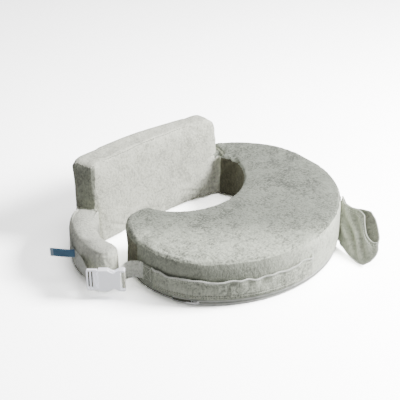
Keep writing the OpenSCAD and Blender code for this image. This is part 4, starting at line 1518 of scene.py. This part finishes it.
    # rows of stitches beside the mouth
    sk = Skin(objs[0])
    parts = []
    for off in (3, 5):
        C = along(layers[1][:, off], 1.0)
        k = 2
        while k + 3 < len(C):
            seg = []
            for t in range(4):
                hit, n = sk.cast(C[k + t] + en * 8, -en, 20)
                if hit is not None:
                    seg.append(hit + en * (0.3 if 0 < t < 3 else 0))
            if len(seg) == 4:
                parts.append(tube("t", seg, 0.33, 6))
            k += 5
    V, F = merge(parts)
    st = new_object("pouch_stitches", V, F)
    paint(st, THREAD)
    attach(st, "pouch")
    # the seam it hangs from: an oversewn ladder of thread on the wall, painted near black for the shadow in the gap by
    # the pouch
    sa = rad(-39)
    u = np.array([math.cos(sa), math.sin(sa), 0])
    v = np.array([-math.sin(sa), math.cos(sa), 0])
    base = np.array([*c3, 0]) + u * (r3 + 4.0)
    parts = []
    z = 15.0
    i = 0
    while z < 79:
        w = 1.9 if i % 2 else 1.2
        seg = [base + v * -w + [0, 0, z], base + u * 0.9 + [0, 0, z + 0.9], base + v * w + [0, 0, z + 1.8]]
        parts.append(tube("t", seg, 1.0, 6))
        z += 3.1
        i += 1
    cord = [base + u * 0.2 + [0, 0, q] for q in np.arange(14, 80, 1.5)]
    parts.append(tube("t", cord, 0.8, 8))
    V, F = merge(parts)
    s = new_object("pouch_seam_ladder", V, F)
    paint(s, LADDER_THREAD_SHADOW)
    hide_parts("pouch_seam_tape")
    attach(s, "crescent")


def make_buckle():
    for n in ("buckle_socket", "buckle_plug", "prong_upper", "prong_lower"):
        o = nodes[n]
        paint(o, BUCKLE)
        w = o.modifiers.new("weld", "WELD")
        w.merge_threshold = 0.00002
        b = o.modifiers.new("soft_edges", "BEVEL")
        b.width = 0.0007 if n != "buckle_plug" else 0.0005
        b.segments = 2
        b.limit_method = "ANGLE"
        b.angle_limit = rad(35)
        b.use_clamp_overlap = True


# ---------------------------------------------------------------- stage
def make_stage():
    me = bpy.data.meshes.new("floor")
    s = 9.0
    me.from_pydata([(-s, -s, 0), (s, -s, 0), (s, s, 0), (-s, s, 0)], [], [(0, 1, 2, 3)])
    f = bpy.data.objects.new("floor", me)
    scene.collection.objects.link(f)
    f.location.z = -0.0006
    m, nt, b, c = node_material("floor_white")
    n = noise_tex(nt, mapped(nt, c, (1, 1, 1)), 3, 2)
    # the floor looks whiter to the camera than the light it sends back to the object
    lp = nt.nodes.new("ShaderNodeLightPath")
    d = nt.nodes.new("ShaderNodeBsdfDiffuse")
    seen = mix(nt, (FILL, FILL, FILL), (GLOW, GLOW, GLOW), lp.outputs["Is Camera Ray"])
    nt.links.new(mix(nt, ramp(nt, n, [(0.3, (0.98, 0.98, 0.98)), (0.7, (1.0, 1.0, 1.0))]), seen, 1.0, "MULTIPLY"), d.inputs["Color"])
    nt.links.new(d.outputs["BSDF"], next(k for k in nt.nodes if k.type == "OUTPUT_MATERIAL").inputs["Surface"])
    nt.nodes.remove(b)
    me.materials.append(m)

    w = bpy.data.worlds.new("studio")
    scene.world = w
    w.use_nodes = True
    bg = w.node_tree.nodes["Background"]
    bg.inputs["Color"].default_value = (1.0, 1.0, 1.0, 1)
    bg.inputs["Strength"].default_value = WORLD

    def area(name, loc, look, size, power, colour=(1, 1, 1)):
        l = bpy.data.lights.new(name, "AREA")
        l.shape = "RECTANGLE"
        l.size, l.size_y = size
        l.energy = power
        l.color = colour
        o = bpy.data.objects.new(name, l)
        scene.collection.objects.link(o)
        o.location = loc
        o.rotation_mode = "QUATERNION"
        o.rotation_quaternion = (Vector(look) - Vector(loc)).to_track_quat("-Z", "Y")
    mid = Vector((0, 0.13, 0.05))
    area("key", Vector((1.17, -1.12, 1.27)), mid, (0.75, 0.65), KEY)
    area("overhead", Vector((0.05, -0.05, 1.8)), mid, (1.1, 1.1), OVER)

    cam = bpy.data.cameras.new("camera")
    cam.lens = 95.4
    cam.sensor_width = 36
    cam.clip_start, cam.clip_end = 0.05, 40
    co_ = bpy.data.objects.new("camera", cam)
    scene.collection.objects.link(co_)
    co_.location = at(-1262, -1334, 1193)
    co_.rotation_mode = "QUATERNION"
    co_.rotation_quaternion = (at(0, 67, 60) - at(-1262, -1334, 1193)).to_track_quat("-Z", "Y")
    scene.camera = co_


WORLD, KEY, OVER, FILL, GLOW = 0.16, 122.0, 14.0, 0.6, 4.8

crescent = make_crescent()
backrest = make_backrest()
arm = make_arm()
make_neck()
make_pocket(crescent)
make_zip()
make_straps(crescent, arm)
make_tag()
make_pouch()
make_buckle()
make_stage()
